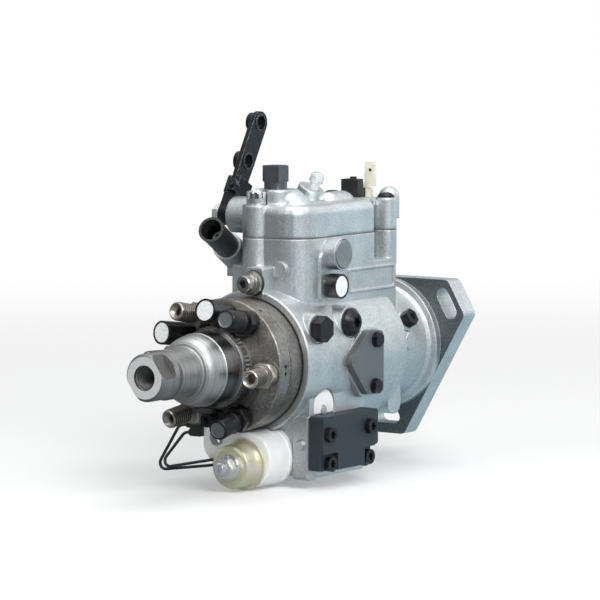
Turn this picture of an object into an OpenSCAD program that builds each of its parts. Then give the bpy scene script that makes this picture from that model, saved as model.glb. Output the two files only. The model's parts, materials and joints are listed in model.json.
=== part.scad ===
// Rotary distributor fuel-injection pump, flange mounted.
// X points to the timing-window side, Y to the drive end, Z up.
// The origin is the centre of the pilot on the mounting face.

/* [Flange and pilot] */
// Distance from the axis to each long edge of the triangular flange
flange_in_r = 43; // [40:0.5:48]
// Distance from the axis to the cut corner of the flange
flange_tip_r = 63.5; // [61:0.5:70]
// Thickness of the flange plate
flange_t = 14; // [8:0.5:18]
// Radius at which the two upper slots lie
slot_pcr = 55; // [53:0.5:56]
// Radius at which the lower slot lies
slot_low_r = 50; // [49.5:0.5:52]
// Distance from the axis to the lower cut corner
flange_low_r = 61; // [60:0.5:66]
// Width of a mounting slot
slot_w = 9; // [6:0.5:12]
// End to end length of a mounting slot
slot_len = 22; // [14:0.5:24]
// Radius of the pilot spigot
pilot_r = 35; // [26:0.5:38]
// Height of the pilot spigot
pilot_h = 7; // [4:0.5:12]

/* [Barrel] */
// Outer radius of the barrel
barrel_r = 45.4; // [44:0.1:48]
// Distance from the mounting face to the front of the barrel
barrel_front = 168; // [164:0.5:172]
// Distance from the mounting face to the rear edge of the barrel
barrel_rear = 55; // [50:0.5:58]
// Outer radius of the neck behind the barrel
neck_r = 38; // [34:0.5:41]
// Bore that takes the hydraulic head
head_bore_r = 39.4; // [38:0.1:40]
// Bore round the cam and the governor weights
chamber_r = 36; // [35:0.1:37]

/* [Hydraulic head] */
// Radial running fit of plain joints
fit = 0.08; // [0.03:0.01:0.1]
// Seat clearance between neighbouring curved pieces
gap = 0.3; // [0.2:0.05:0.5]
// Largest radius of the head
head_r = 42.2; // [41.5:0.1:43.5]
// Depth of the head plug inside the barrel
head_plug = 27; // [20:0.5:30]
// Length of the head in front of the barrel
head_len = 32; // [28:0.5:36]
// Radius of the distributor rotor
rotor_r = 9.5; // [8:0.1:10.5]

/* [Delivery fittings] */
// Number of delivery fittings
fitting_n = 6; // [6]
// Angle of the first fitting round the axis
fitting_a0 = -5; // [-8:1:-2]
// Outward flare of each fitting
flare = 12; // [8:0.5:14]
// Distance from the axis to the centre of a fitting tip
tip_r = 39.5; // [38:0.5:42]
// Distance from the mounting face to the fitting tips
tip_y = 224; // [222:0.5:228]
// Radius of the fitting thread
thread_r = 6; // [5:0.1:6.5]
// Width over flats of the fitting hexagon
fit_af = 15; // [13:0.5:16]

/* [Inlet nose] */
// Distance from the mounting face to the tip of the nose
nose_tip = 278.4; // [270:0.1:290]
// Radius of the spanner collar
collar_r = 14.8; // [13:0.1:15.4]
// Distance between the two spanner flats
collar_af = 24; // [20:0.5:27]
// Radius of the nose shank
shank_r = 15.5; // [15.4:0.1:18]
// Radius of the ground cylinder behind the dome
dome_r = 23; // [21:0.1:24]
// Radius of the inlet bore
inlet_r = 7; // [5:0.1:8]

/* [Governor housing] */
// Right wall of the governor housing
gov_x1 = 29; // [27:0.5:32]
// Left wall of the governor housing
gov_x0 = -27; // [-30:0.5:-24]
// Distance from the mounting face to the front wall
gov_front = 155; // [152:0.5:157]
// Distance from the mounting face to the rear wall
gov_rear = 42; // [38:0.5:46]
// Height of the joint between housing and cover
split_z = 77; // [75:0.5:79]
// Height of the cover plate above the axis
cover_z = 98; // [96:0.5:101]
// Wall of the governor chamber
gov_wall = 5; // [3.5:0.5:6]
// Thickness of the cover gasket
gasket_t = 0.8; // [0.5:0.1:1.5]

/* [Throttle] */
// Distance from the mounting face to the throttle shaft
throttle_y = 127.5; // [125:0.5:130]
// Height of the throttle shaft
throttle_z = 88.7; // [87:0.1:90]
// Radius of the throttle shaft
throttle_r = 4; // [3:0.1:4.5]
// Lean of the lever towards the drive end
lever_lean = 30; // [20:1:35]
// Thickness of the lever
lever_t = 3.3; // [2.5:0.1:4]
// Distance from the shaft to the lower lever bush
bush_1 = 38.5; // [36:0.5:44]
// Distance from the shaft to the upper lever bush
bush_2 = 66.6; // [60:0.1:72]
// Bore radius of a lever bush
bush_bore = 4.5; // [3:0.1:4.8]
// Half width of the lever at its end
lever_end_r = 7.4; // [7:0.1:9]

/* [Advance] */
// Distance from the mounting face to the advance piston
adv_y = 129.5; // [128:0.5:131]
// Depth of the advance piston below the axis
adv_z = 50; // [49:0.5:52]
// Bore radius of the advance cylinder
adv_r = 11; // [9:0.1:11.4]
// Seat plane of the advance cover
adv_x1 = 40; // [38:0.5:42]
// Thickness of the advance cover
adv_cover_t = 11; // [8:0.5:13]
// Travel of the advance piston
adv_travel = 6; // [3:0.5:7]

/* [Drive] */
// Radius of the drive shaft inside the pump
shaft_r = 11; // [9:0.1:11.5]
// Length of the drive shaft beyond the mounting face
shaft_out = 54; // [48:0.5:60]
// Number of governor weights
weight_n = 4; // [4]

/* [Actuator] */
// Outer radius of the moulded actuator body at its rear rim
act_r = 18.8; // [17:0.1:19]
// Radius of the plated cup
cup_r = 14; // [12:0.5:15]

/* [Hidden] */
$fn = 64;
eps = 0.01;
vent_lean = 24;
// A cut runs this far past the face it opens
over = 1;

alu = [0.74, 0.76, 0.77];
steel = [0.62, 0.60, 0.57];
bright = [0.80, 0.80, 0.80];
black = [0.10, 0.11, 0.12];

// Stations along the axis, all on the head side of the mounting face
y_face = -barrel_front;
y_head = y_face - head_len;
y_plug = y_face + head_plug;
y_tip = -tip_y;
y_nose = -nose_tip;
y_rear = -barrel_rear;
y_wall = y_rear - 7;
y_cap = y_head - 1;
base_r = 24.7;

// Basic shapes laid along one axis
module cy(r, a, b) translate([0, a, 0]) rotate([-90, 0, 0]) cylinder(r = r, h = b - a);
module cx(r, a, b) translate([a, 0, 0]) rotate([0, 90, 0]) cylinder(r = r, h = b - a);
module cz(r, a, b) translate([0, 0, a]) cylinder(r = r, h = b - a);
module hex_z(af, h) cylinder(r = af / 2 / cos(30), h = h, $fn = 6);
module hex_x(af, a, b) translate([a, 0, 0]) rotate([0, 90, 0]) hex_z(af, b - a);
module hex_y(af, a, b) translate([0, a, 0]) rotate([-90, 0, 0]) hex_z(af, b - a);
// Turned profile given as radius and station along Y
module rev(p) rotate([-90, 0, 0]) rotate_extrude() polygon(p);
// Plate seen along Y, from station a towards the head by t
module slab_y(a, t) translate([0, a, 0]) rotate([90, 0, 0]) linear_extrude(t) children();
// Plate seen along X, from x by t, outline in Y and Z
module slab_x(x, t) translate([x, 0, 0]) rotate([90, 0, 90]) linear_extrude(t) children();
module slab_z(z, t) translate([0, 0, z]) linear_extrude(t) children();
module box(a, b) translate(a) cube(b - a);

// Corner rounding of a polygon by a list of radii
function unit(v) = v / norm(v);
function turn(s, q) = [s.x * cos(q) - s.y * sin(q), s.x * sin(q) + s.y * cos(q)];
function corner(a, b, c, r, n) = r <= 0 ? [b] :
  let(u = unit(a - b), v = unit(c - b),
      h = acos(max(-1, min(1, u * v))) / 2,
      m = b + unit(u + v) * (r / sin(h)),
      s = b + u * (r / tan(h)) - m,
      e = b + v * (r / tan(h)) - m,
      g = sign(s.x * e.y - s.y * e.x))
  [for (k = [0 : n]) m + turn(s, g * (180 - 2 * h) * k / n)];
// Outline moved inwards by d, for points that run clockwise
function inward(p, d) = [for (i = [0 : len(p) - 1])
  let(u = unit(p[i] - p[(i + len(p) - 1) % len(p)]), v = unit(p[(i + 1) % len(p)] - p[i]),
      m = [u.y, -u.x], n = [v.y, -v.x])
  p[i] + (m + n) * d / (1 + m * n)];
function rpoly(p, r, n = 9) =
  [for (i = [0 : len(p) - 1])
    each corner(p[(i + len(p) - 1) % len(p)], p[i], p[(i + 1) % len(p)], r[i], n)];

// Local frame of a flared fitting: origin at its tip, +Z back into the head
module flared(th, rt, yt) rotate([0, -th, 0]) translate([rt, yt, 0])
  rotate([0, 0, flare]) rotate([-90, 0, 0]) children();
fit_span = (tip_y - barrel_front - head_len + 3) / cos(flare);
plain_at = [0, 2, 3, 4];
dark_at = [1, 5];
function fit_th(k) = fitting_a0 + 360 / fitting_n * k;
sleeve_at = [fitting_a0 + 90, fitting_a0 + 150];
sleeve_tip_r = tip_r - 2.5;
sleeve_tip_y = -(tip_y - 3.5);
sleeve_span = fit_span - 3.5;
sleeve_r = 7.5;

// Outlines of the governor housing, in X and Y
box_low = rpoly([[gov_x1, -gov_rear], [gov_x1, -gov_front], [gov_x0, -gov_front + 2],
  [gov_x0, -gov_rear]], [6, 17, 5, 6]);
notch_y = -gov_rear - 27.8;
notch_x = gov_x1 - 13;
box_up_pts = [[gov_x1, notch_y], [gov_x1, -gov_front], [-12, -gov_front + 1],
  [gov_x0, -gov_front + 23], [gov_x0, -gov_rear], [notch_x, -gov_rear], [notch_x, notch_y + 4]];
box_up = rpoly(box_up_pts, [3, 17, 5, 8, 6, 2, 4]);
cav_pts = [[gov_x1 - gov_wall, notch_y - gov_wall], [gov_x1 - gov_wall, -gov_front + gov_wall],
  [-9, -gov_front + gov_wall], [gov_x0 + gov_wall, -gov_front + 26],
  [gov_x0 + gov_wall, -gov_rear - 12], [notch_x - gov_wall, -gov_rear - 12],
  [notch_x - gov_wall, notch_y - gov_wall + 2]];
cav = rpoly(cav_pts, [3, 11, 3, 5, 3, 3, 3]);
// Front and rear halves of the cover, with the shoulder's insets and depths
shoulder = [[0, 5], [0.7, 2.7], [2.2, 0.9], [4.6, 0]];
cover_front = [[gov_x1, notch_y], [gov_x1, -gov_front], [-12, -gov_front + 1],
  [gov_x0, -gov_front + 23], [gov_x0, notch_y]];
cover_rear = [[notch_x, -gov_rear], [notch_x, notch_y - 30], [gov_x0, notch_y - 30],
  [gov_x0, -gov_rear]];
seat_r = 13;
seat_h = 9.2;
col_f = [-7.4, -gov_front + 4.6];
col_f_r = 9;
col_r = [gov_x1 - 7, -gov_rear - 5.4];
col_l = [gov_x0 + 7, -gov_rear - 5.4];
col_rr = 7;
step_z = split_z - 18;
plug_at = [3.9, head_r + 8];
boss_y = y_face - 0.4;
screw_post = 5;

// Right-hand face parts
side_x = gov_x1;
disc_at = [-121.2, 66.8];
disc_r = 9.4;
disc_boss_r = disc_r + 0.8;
disc_boss_x = side_x + 10.2;
ssleeve_at = [-124.6, 46.6];
ssleeve_r = 7.9;
ssleeve_x1 = side_x + 11.2;
pivot_at = [-153.2, 22.2];
access_at = [-117.4, 23.4];
bolt_seat = barrel_r - 4.2;
nut_a = 28;
nut_y = -41.5;
pad_x = barrel_r - 0.8;
tim_t = 2.8;
tim_gasket = 1.6;
tim_pts = [[-90, 16.8], [-107, 17.2], [-128, -0.7], [-108.5, -23.2], [-90, -24]];
tim_scr = [[-98.8, 11.2], [-100.4, -18.2]];

// Advance block
adv_front = adv_y + 30.5;
adv_back = adv_y - 30.5;
adv_bot = -72;
adv_scr = [[-155.2, -43.8], [-110, -42.8], [-151, -62.9], [-108.5, -62.7]];
adv_left = -24;
piston_len = 44;
piston_x0 = -17;
tag_at = [-144, -28];

// Cam and rotor
cam_y0 = y_plug + 1.5;
cam_w = 20;
cam_r = chamber_r - fit;
pin_r = 5;
hub_r = 17.5;
plunger_r = 2.8;

// Governor
ret_y = cam_y0 + cam_w + 3;
w_pivot_y = ret_y + 3.9;
w_pivot_r = 28;
sleeve_y = w_pivot_y + 3.5 + gap;
sleeve_len = 27;
arm_y = sleeve_y + sleeve_len + gap;
arm_z = 32;
pivot_r = 2.5;
arm_t = 3;
hook_z = 62;
spring_x = -6.5;
hook_x = 6.2;
valve_at = [-3, y_plug - 4.4];
valve_r = 4;
valve_lead = 8;
valve_pin = valve_at + 9.9 * [cos(valve_lead), sin(valve_lead)];

// Actuator
act_y = -adv_front;
act_at = [9.6, -head_r - 17.2];
cup_at = act_at - [2, 3.2];
lug_z = -head_r + 4.8;
clip_r = head_r - 9.2;
act_front = act_y - 25;
cup_len = 16;

// Mounting plate outline: a triangle with its corners cut square
plate_pts = [for (a = [30, 150, 270], s = [-1, 1])
  let(q = a == 270 ? flange_low_r : flange_tip_r,
      h = (flange_in_r - q * cos(60)) / sin(60))
  q * [cos(a), sin(a)] + s * h * [-sin(a), cos(a)]];
plate = rpoly(plate_pts, [for (i = [1 : 6]) 5]);

module slot_2d() for (a = [30, 150, 270]) rotate(a)
  translate([a == 270 ? slot_low_r : slot_pcr, 0]) union() {
    square([slot_w, slot_len - slot_w], center = true);
    for (s = [-1, 1]) translate([0, s * (slot_len - slot_w) / 2]) circle(slot_w / 2);
  }

module barrel_outer() rev([[0, y_face], [barrel_r - 0.8, y_face], [barrel_r, y_face + 0.8],
  [barrel_r, y_face + 27], [barrel_r - 0.5, y_face + 27.6], [barrel_r - 0.5, y_rear - 1.6],
  [barrel_r - 1.8, y_rear], [neck_r + 1.5, y_rear], [neck_r, y_rear + 1.5],
  [neck_r, -flange_t - 9], [neck_r + 1.4, -flange_t - 6.4], [barrel_r - 2.4, -flange_t - 5],
  [barrel_r - 2.4, -flange_t + 1], [0, -flange_t + 1]]);

module housing() color(alu) difference() {
  union() {
    barrel_outer();
    difference() {
      slab_y(0, flange_t) polygon(plate);
      translate([0, over, 0]) slab_y(0, flange_t + 2 * over) slot_2d();
    }
    cy(pilot_r, -1, pilot_h);
    slab_z(18, step_z - 18) polygon(box_low);
    slab_z(18, split_z - 18) polygon(box_up);
    translate(col_f) cz(col_f_r, 36, split_z);
    translate(col_l) cz(col_rr, 24, split_z);
    // Rear column ends in a slanted foot
    difference() {
      translate(col_r) cz(col_rr, step_z - 4, split_z);
      translate([gov_x1 - 20, -gov_rear + 4, step_z - 8]) rotate([20, 0, 0])
        translate([0, -30, -8]) cube([40, 40, 9]);
    }
    // Square boss of the socket plug
    slab_y(-gov_front + 2, -gov_front + 2 - boss_y) translate(plug_at)
      polygon(rpoly([[-7, -10], [6, -10], [6, 9.6], [-7, 9.6]], [1.5, 1.5, 1.5, 1.5], 3));
    // Side pad, disc boss and sleeve boss
    slab_x(side_x - 2, 3.4) polygon(rpoly([[-134, 37], [-108, 37], [-108, 78 - 8],
      [-134, 78 - 8]], [2, 2, 8, 8], 4));
    translate([0, disc_at.x, disc_at.y]) cx(disc_boss_r, side_x - 4, disc_boss_x);
    translate([0, ssleeve_at.x, ssleeve_at.y]) cx(6, side_x - 4, side_x + 3);
    // Bare recess frame for a plate on the right wall
    slab_x(side_x - 1, 1.8) difference() {
      polygon(rpoly([[-101, 39.8], [-48, 39.8], [-48, 55.4], [-101, 55.4]], [1, 1, 1, 1], 2));
      polygon(rpoly([[-99.4, 41.4], [-49.6, 41.4], [-49.6, 53.8], [-99.4, 53.8]],
        [1, 1, 1, 1], 2));
    }
    // Round cast mark left bare
    translate([13.5, -gov_front + 0.6, 57.5]) cy(5.4, -1.2, 1);
    // Bolt bosses on the barrel
    translate([0, pivot_at.x, pivot_at.y]) cx(9.6, 28, bolt_seat);
    translate([0, access_at.x, access_at.y]) cx(10.3, 28, bolt_seat);
    // Timing window pad
    slab_x(24, pad_x - 24) polygon(rpoly([[-89, 18.4], [-108, 18.6], [-130.5, -0.7],
      [-109.5, -25], [-89, -25.4]], [4, 5, 5, 5, 4], 4));
    // Advance block under the barrel
    slab_x(-30, adv_x1 + 30) polygon(rpoly([[-adv_front, -14], [-adv_front, adv_bot],
      [-adv_back, adv_bot], [-adv_back, -14]], [0, 3.5, 3.5, 0], 4));
    slab_x(adv_x1 - 11, 11) polygon(rpoly([[-adv_front - 2.6, -33],
      [-adv_front - 2.6, adv_bot - 1.2], [-adv_front + 8, adv_bot - 1.2], [-adv_front + 8, -33]],
      [0, 2, 2, 0], 3));
    // Rib from the barrel down to the corner of the block
    slab_y(-adv_front + 5, 5) polygon([[20, -14], [40, -19], [34, -33],
      [adv_x1 - 11, -44], [adv_x1 - 12, -60], [20, -60]]);
    translate([adv_x1 - 5, -adv_front - 0.6, -51]) cy(3.2, -4, 3);
    // Stud boss of the round tag
    translate([0, tag_at.x, tag_at.y - 2.3]) cx(3, 20, adv_x1 - 0.2);
    // Lugs on the neck
    translate([0, -45, 5.6]) cx(6.2, 20, neck_r + 2.6);
    hull() {
      translate([0, -49.4, 2.7 - neck_r]) cx(7.4, 8, neck_r - 7.7);
      translate([0, -48.4, 16 - neck_r]) cx(6.2, 8, neck_r - 7.7);
    }
    // Boss of the return tube on the left wall
    on_tube() {
      cz(9.4, -14, 7.7);
      cz(3.9, 7, 24);
    }
    box([gov_x0 - 14, -136, 50], [gov_x0 + 4, -119, 62]);
    // Nut seat on the neck
    rotate([0, -nut_a, 0]) translate([0, nut_y, 0]) cx(6, neck_r - 8, neck_r + 0.4);
  }
  // Head bore, chamber, bearing bore and seal bore
  cy(head_bore_r, y_face - over, y_plug);
  cy(chamber_r, y_plug - over, y_wall);
  cy(shaft_r + 4, y_wall - over, -7);
  cy(shaft_r + 1.2, -8, pilot_h + over);
  rev([[0, y_face - over], [head_bore_r + 1.8, y_face - over], [head_bore_r + 1.4, y_face],
    [head_bore_r - 0.1, y_face + 1.6], [0, y_face + 1.6]]);
  on_tube() cz(2, 0, 25);
  // Governor chamber
  slab_z(26, split_z - 26 + over) difference() {
    intersection() {
      polygon(cav);
      translate([-60, -gov_front]) square([120, gov_front + y_wall]);
    }
    translate(col_f) circle(screw_post);
  }
  slab_z(26, step_z - 26) intersection() {
    polygon(cav);
    translate([-12, -gov_front]) square([24, 30]);
  }
  translate([0, arm_y + arm_t / 2, arm_z]) cx(pivot_r + eps, -28.7, 28.7);
  // Advance cylinder and the slot of the cam pin
  translate([0, -adv_y, -adv_z]) cx(adv_r, adv_left, adv_x1 + over);
  box([-pin_r - adv_travel - 0.5, -adv_y - pin_r - 0.5, -adv_z],
    [pin_r + 0.5, -adv_y + pin_r + 0.5, -chamber_r + 4]);
  // Spot faces of the side bolts and of the window pad
  translate([0, pivot_at.x, pivot_at.y]) cx(9.4, bolt_seat, 60);
  translate([0, access_at.x, access_at.y]) cx(10.1, bolt_seat, 60);
  slab_x(pad_x, 4) polygon([[-88, 19], [-108.4, 19.2], [-131, -0.7], [-110, -25.6], [-88, -26]]);
  // Spot face and recess of the round tag
  difference() {
    translate([0, tag_at.x, tag_at.y]) cx(11.6, adv_x1 - 2.5, 60);
    translate([0, tag_at.x, tag_at.y - 2.3]) cx(3, 20, adv_x1 - 0.2);
  }
  // Tapped and plain holes
  translate([plug_at.x, 0, plug_at.y]) cy(4, boss_y - over, boss_y + 12.4);
  translate([0, disc_at.x, disc_at.y]) cx(disc_r, disc_boss_x - 2.5, disc_boss_x + over);
  translate([0, pivot_at.x, pivot_at.y]) cx(4, 30, bolt_seat + over);
  translate([0, access_at.x, access_at.y]) cx(5, 24, bolt_seat + over);
  for (p = tim_scr) translate([0, p.x, p.y]) cx(2.5, pad_x - 9, pad_x + over);
  for (p = adv_scr) translate([0, p.x, p.y]) cx(2.5, adv_x1 - 12, adv_x1 + over);
  slab_x(30, pad_x) polygon([[-98, 4], [-112, -1], [-98, -12]]);
  for (p = [col_f, col_r, col_l]) translate(p) cz(2.8, split_z - 16, split_z + over);
  rotate([0, -nut_a, 0]) translate([0, nut_y, 0]) cx(3.5, neck_r - 8, neck_r + 3);
}

// Block with a rounded upper shoulder
module cover_block(p, r) hull() for (k = shoulder)
  slab_z(split_z + gasket_t, cover_z - split_z - gasket_t - k[1])
    polygon(rpoly(inward(p, k[0]), [for (c = r) max(0.5, c - k[0])], 5));

module governor_cover() color(alu) difference() {
  union() {
    cover_block(cover_front, [3, 17, 5, 8, 3]);
    cover_block(cover_rear, [2, 0.6, 0.6, 6]);
    translate(col_f) cz(col_f_r, split_z + gasket_t, cover_z);
    translate(col_r) cz(col_rr, split_z + gasket_t, cover_z);
    translate(col_l) cz(col_rr, split_z + gasket_t, cover_z);
    // Raised seat of the return connector, which flares out towards the right
    translate([-3, -136]) cz(seat_r, cover_z - 6, cover_z + seat_h);
    hull() {
      translate([-1, -133]) cz(seat_r - 2.4, cover_z - 2, cover_z + seat_h);
      translate([7, -129]) cz(seat_r, cover_z - 4, cover_z - 0.6);
    }
    // Leaning vent boss, rounded ridge and rear knob
    translate([-6.4, -99, cover_z - 4]) rotate([0, vent_lean, 0]) cz(8.4, 0, 13.4);
    translate([4, 0, cover_z - 4]) cy(9, -88, -72);
    for (s = [-88, -72]) translate([4, s, cover_z - 4]) sphere(9);
    translate([17.5, -37]) cz(6.8, split_z + gasket_t + 6, cover_z - 0.6);
    translate([17.5, -37, cover_z - 0.6]) sphere(6.8);
    // Throttle shaft boss
    translate([0, -throttle_y, throttle_z]) cx(12, gov_x0 - 13, gov_x0 + 8);
  }
  slab_z(split_z - 12, cover_z - split_z + 8.5) difference() {
    polygon(cav);
    translate(col_f) circle(screw_post);
  }
  box([-80, -200, split_z - 14], [80, 0, split_z + gasket_t]);
  translate([0, -throttle_y, throttle_z]) cx(throttle_r + fit, gov_x0 - 14, gov_x0 + 20);
  for (p = [col_f, col_r, col_l]) translate(p) cz(3.3, split_z, cover_z + over);
  translate(col_f) cz(7, cover_z, cover_z + 14);
  translate(col_r) cz(6, cover_z, cover_z + 14);
  translate([-3, -136]) cz(3, cover_z - 4, cover_z + seat_h + 1);
  translate([17.5, -37]) cz(2, split_z, split_z + 8);
}

module gaskets() color(black) {
  slab_z(split_z, gasket_t) difference() {
    union() {
      polygon(box_up);
      for (p = [[col_f, col_f_r], [col_r, col_rr], [col_l, col_rr]]) translate(p[0]) circle(p[1]);
    }
    difference() {
      polygon(cav);
      translate(col_f) circle(screw_post);
    }
    for (p = [col_f, col_r, col_l]) translate(p) circle(3.3);
  }
  slab_x(pad_x, tim_gasket) difference() {
    polygon(rpoly(tim_pts, [4.5, 4.5, 4, 4.5, 4.5], 4));
    polygon([[-98, 4], [-112, -1], [-98, -12]]);
    for (p = tim_scr) translate(p) circle(2.7);
  }
}

module cap_screw_z(r, h, shank, len, sock) difference() {
  union() {
    cz(r, 0, h - 0.6);
    translate([0, 0, h - 0.6]) cylinder(r1 = r, r2 = r - 0.6, h = 0.6);
    cz(shank, -len, eps);
  }
  translate([0, 0, h - 2.6]) hex_z(sock, 4);
}

module cover_screws() color(bright) {
  translate([col_f.x, col_f.y, cover_z]) cap_screw_z(6.6, 8.8, 2.7, 34, 5);
  for (p = [col_r, col_l]) translate([p.x, p.y, cover_z]) {
    cz(2.7, -34, eps);
    difference() {
      union() {
        cz(5.6, 0, 1.2);
        translate([0, 0, 1.2]) cylinder(r1 = 5.6, r2 = 3.4, h = 1.8);
      }
      translate([0, 0, 1.4]) hex_z(3.6, 3);
    }
  }
}

module head_body() rev([[0, y_head], [27, y_head], [head_r - 0.6, y_head + 5.2],
  [head_r, y_head + 6], [head_r, y_head + 16], [head_r - 0.9, y_head + 16.3],
  [head_r - 0.9, y_head + 17.4], [head_r - 0.3, y_head + 17.7], [head_r - 1, y_head + 28],
  [head_bore_r + 0.9, y_face - 1.2], [head_bore_r - 1.4, y_face - 1.2],
  [head_bore_r - 1.4, y_face + 3], [head_bore_r - fit, y_face + 3],
  [head_bore_r - fit, y_plug], [0, y_plug]]);

module hydraulic_head() color(steel) difference() {
  union() {
    head_body();
    for (k = [0 : fitting_n - 1]) flared(fit_th(k), tip_r, y_tip) cz(8.6, fit_span, fit_span + 5);
    for (a = sleeve_at) flared(a, sleeve_tip_r, sleeve_tip_y) cz(8, sleeve_span, sleeve_span + 5);
  }
  for (k = [0 : fitting_n - 1]) flared(fit_th(k), tip_r, y_tip) cz(8.9, fit_span - 8, fit_span);
  for (a = sleeve_at) flared(a, sleeve_tip_r, sleeve_tip_y) cz(8.2, sleeve_span - 8, sleeve_span);
  cy(rotor_r + fit, y_head - over, y_plug + over);
  rev([[0, y_head - over], [15, y_head - over], [15, y_head + 9], [0, y_head + 9]]);
  for (k = [0 : fitting_n - 1]) flared(fit_th(k), tip_r, y_tip) {
    cz(5, fit_span - over, fit_span + 9);
    cz(1.5, fit_span + 8, fit_span + 22);
  }
  for (a = [2, -4.2, 57, 122, 182, 242]) rotate([0, -a, 0])
    translate([0, y_head + 11, 0]) cx(1.2, head_r - 4, head_r + over);
  translate([valve_at.x, valve_at.y, 0]) cz(valve_r + fit, 14, 60);
  rotate([0, 95, 0]) translate([clip_r, 0, 0]) cy(2, y_head - over, y_head + 8);
}

module seal_rings() color(black) {
  rev([for (k = [0 : 15]) [head_bore_r - 0.35, y_face + 0.5] + 0.9 * [cos(k * 22.5), sin(k * 22.5)]]);
  translate([plug_at.x, 0, plug_at.y]) rev([for (k = [0 : 15]) [6.9, boss_y - 1.35] +
    1.3 * [cos(k * 22.5), sin(k * 22.5)]]);
}

module torx(r, h) linear_extrude(h) union() {
  circle(r * 0.62);
  for (k = [0 : 5]) rotate(60 * k) translate([r * 0.62, 0]) circle(r * 0.26);
}

module head_screw() color(black) rotate([0, 95, 0]) translate([clip_r, 0, 0]) {
  cy(1.9, y_head - 4, y_head + 6);
  difference() {
    cy(4.4, y_head - 11, y_head - 3.4);
    translate([0, y_head - 8.4, 0]) rotate([90, 0, 0]) torx(3, 4);
  }
}

module rotor() color(bright) difference() {
  union() {
    cy(rotor_r, y_head - 13, cam_y0 + 2);
    cy(hub_r, cam_y0 + 1, cam_y0 + cam_w - 1);
    cy(12.5, cam_y0 + cam_w - 1.5, ret_y);
  }
  // Roller pockets, plunger bores, delivery port and blade slots
  for (a = [30, 90, 210, 270]) rotate([0, -a, 0]) {
    translate([11.8, cam_y0 + 2.6, -4.9]) cube([8, cam_w - 5.2, 9.8]);
    translate([0, cam_y0 + cam_w / 2, 0]) cx(plunger_r + fit, 1.64 * plunger_r, 13);
  }
  // Pumping chamber between the plungers, wide enough to hold where their bores meet
  cy(2.1 * plunger_r, cam_y0 + cam_w / 2 - 1.15 * plunger_r, cam_y0 + cam_w / 2 + 1.15 * plunger_r);
  translate([0, y_plug - 12, 0]) cx(1.4, 0, 12);
  cy(1.6, y_plug - 15, cam_y0 + cam_w / 2);
  translate([-10, y_head - 14, -1.6]) cube([20, 10, 3.2]);
  // Tang slot of the drive shaft
  translate([-4.1, ret_y - 8, -13]) cube([8.2, 9, 26]);
}

module plungers() color(bright) for (a = [30, 90, 210, 270]) rotate([0, -a, 0])
  translate([0, cam_y0 + cam_w / 2, 0]) {
    cx(plunger_r, 2.2 * plunger_r, 12.6);
    difference() {
      translate([12.6, -7, -4.6]) cube([4.2, 14, 9.2]);
      translate([18.1, 0, 0]) cy(3.6, -8, 8);
    }
    translate([18.1, 0, 0]) cy(3.5, -6.6, 6.6);
  }

module cam_ring() color(steel) {
  difference() {
    cy(cam_r, cam_y0, cam_y0 + cam_w);
    translate([0, cam_y0 - over, 0]) rotate([-90, 0, 0]) linear_extrude(cam_w + 2 * over)
      polygon([for (q = [0 : 3 : 357]) (23.4 + 0.9 * cos(q * fitting_n)) * [cos(q), sin(q)]]);
    translate([0, -adv_y, 0]) cz(pin_r, -cam_r - over, -cam_r + 6);
  }
  translate([0, -adv_y, 0]) {
    cz(pin_r - eps, -cam_r - 1, -cam_r + 5.9);
    cz(pin_r - 0.4, -adv_z - 5, -cam_r);
  }
}

module transfer_liner() color(steel) difference() {
  cy(14.8, y_head - 12, y_head + 8.8);
  translate([0, 0, 0.9]) cy(11.6, y_head - 13, y_head - 3);
  cy(rotor_r + 2 * fit, y_head - 4, y_head + 10);
}

module transfer_blades() color(bright) for (s = [-1, 1]) mirror([s > 0 ? 0 : 1, 0, 0])
  translate([4.2, y_head - 12.6, -1.45]) cube([5.6, 8.2, 2.9]);

module end_cap() color(steel) difference() {
  rev([[0, y_nose], [collar_r - 1.8, y_nose], [collar_r, y_nose + 1.8],
    [collar_r, y_nose + 16.4], [collar_r - 1, y_nose + 17], [collar_r - 1, y_nose + 18],
    [shank_r, y_nose + 18.8], [shank_r, y_nose + 36.6], [shank_r + 0.3, y_nose + 38.4],
    for (k = [0 : 7]) [dome_r - 0.5 - (dome_r - shank_r - 1.1) * (1 - sin(k * 90 / 7)),
      y_nose + 54 - 14.6 * cos(k * 90 / 7)],
    [dome_r, y_nose + 54.6], [dome_r, y_nose + 66.6], [dome_r - 1, y_nose + 67.4],
    [dome_r - 1, y_nose + 68.4], [dome_r + 1, y_nose + 69.6], [dome_r + 1, y_cap - 2.4],
    [base_r, y_cap - 2.2], [base_r, y_head], [0, y_head]]);
  // Two spanner flats, inlet bore, passage and liner bore
  rotate([0, -35, 0]) for (s = [-1, 1])
    translate([s > 0 ? collar_af / 2 : -collar_af / 2 - 20, y_nose - over, -20])
      cube([20, 13.6, 40]);
  cy(inlet_r + 0.9, y_nose - over, y_nose + 2.6);
  cy(inlet_r, y_nose, y_nose + 24);
  cy(inlet_r - 1.6, y_nose + 23, y_head - 16);
  cy(14.8 + fit, y_head - 12.4, y_head + over);
  cy(11, y_head - 17, y_head - 12);
}

module lock_ring() color(steel) difference() {
  slab_y(y_cap - 2.6, 4.2) polygon([for (q = [0 : 119])
    (q % 2 == 0 ? 25.9 : 25.1) * [cos(q * 3), sin(q * 3)]]);
  cy(dome_r + 1 + gap / 3, y_cap - 8, y_cap + 4, $fn = 180);
}

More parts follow.
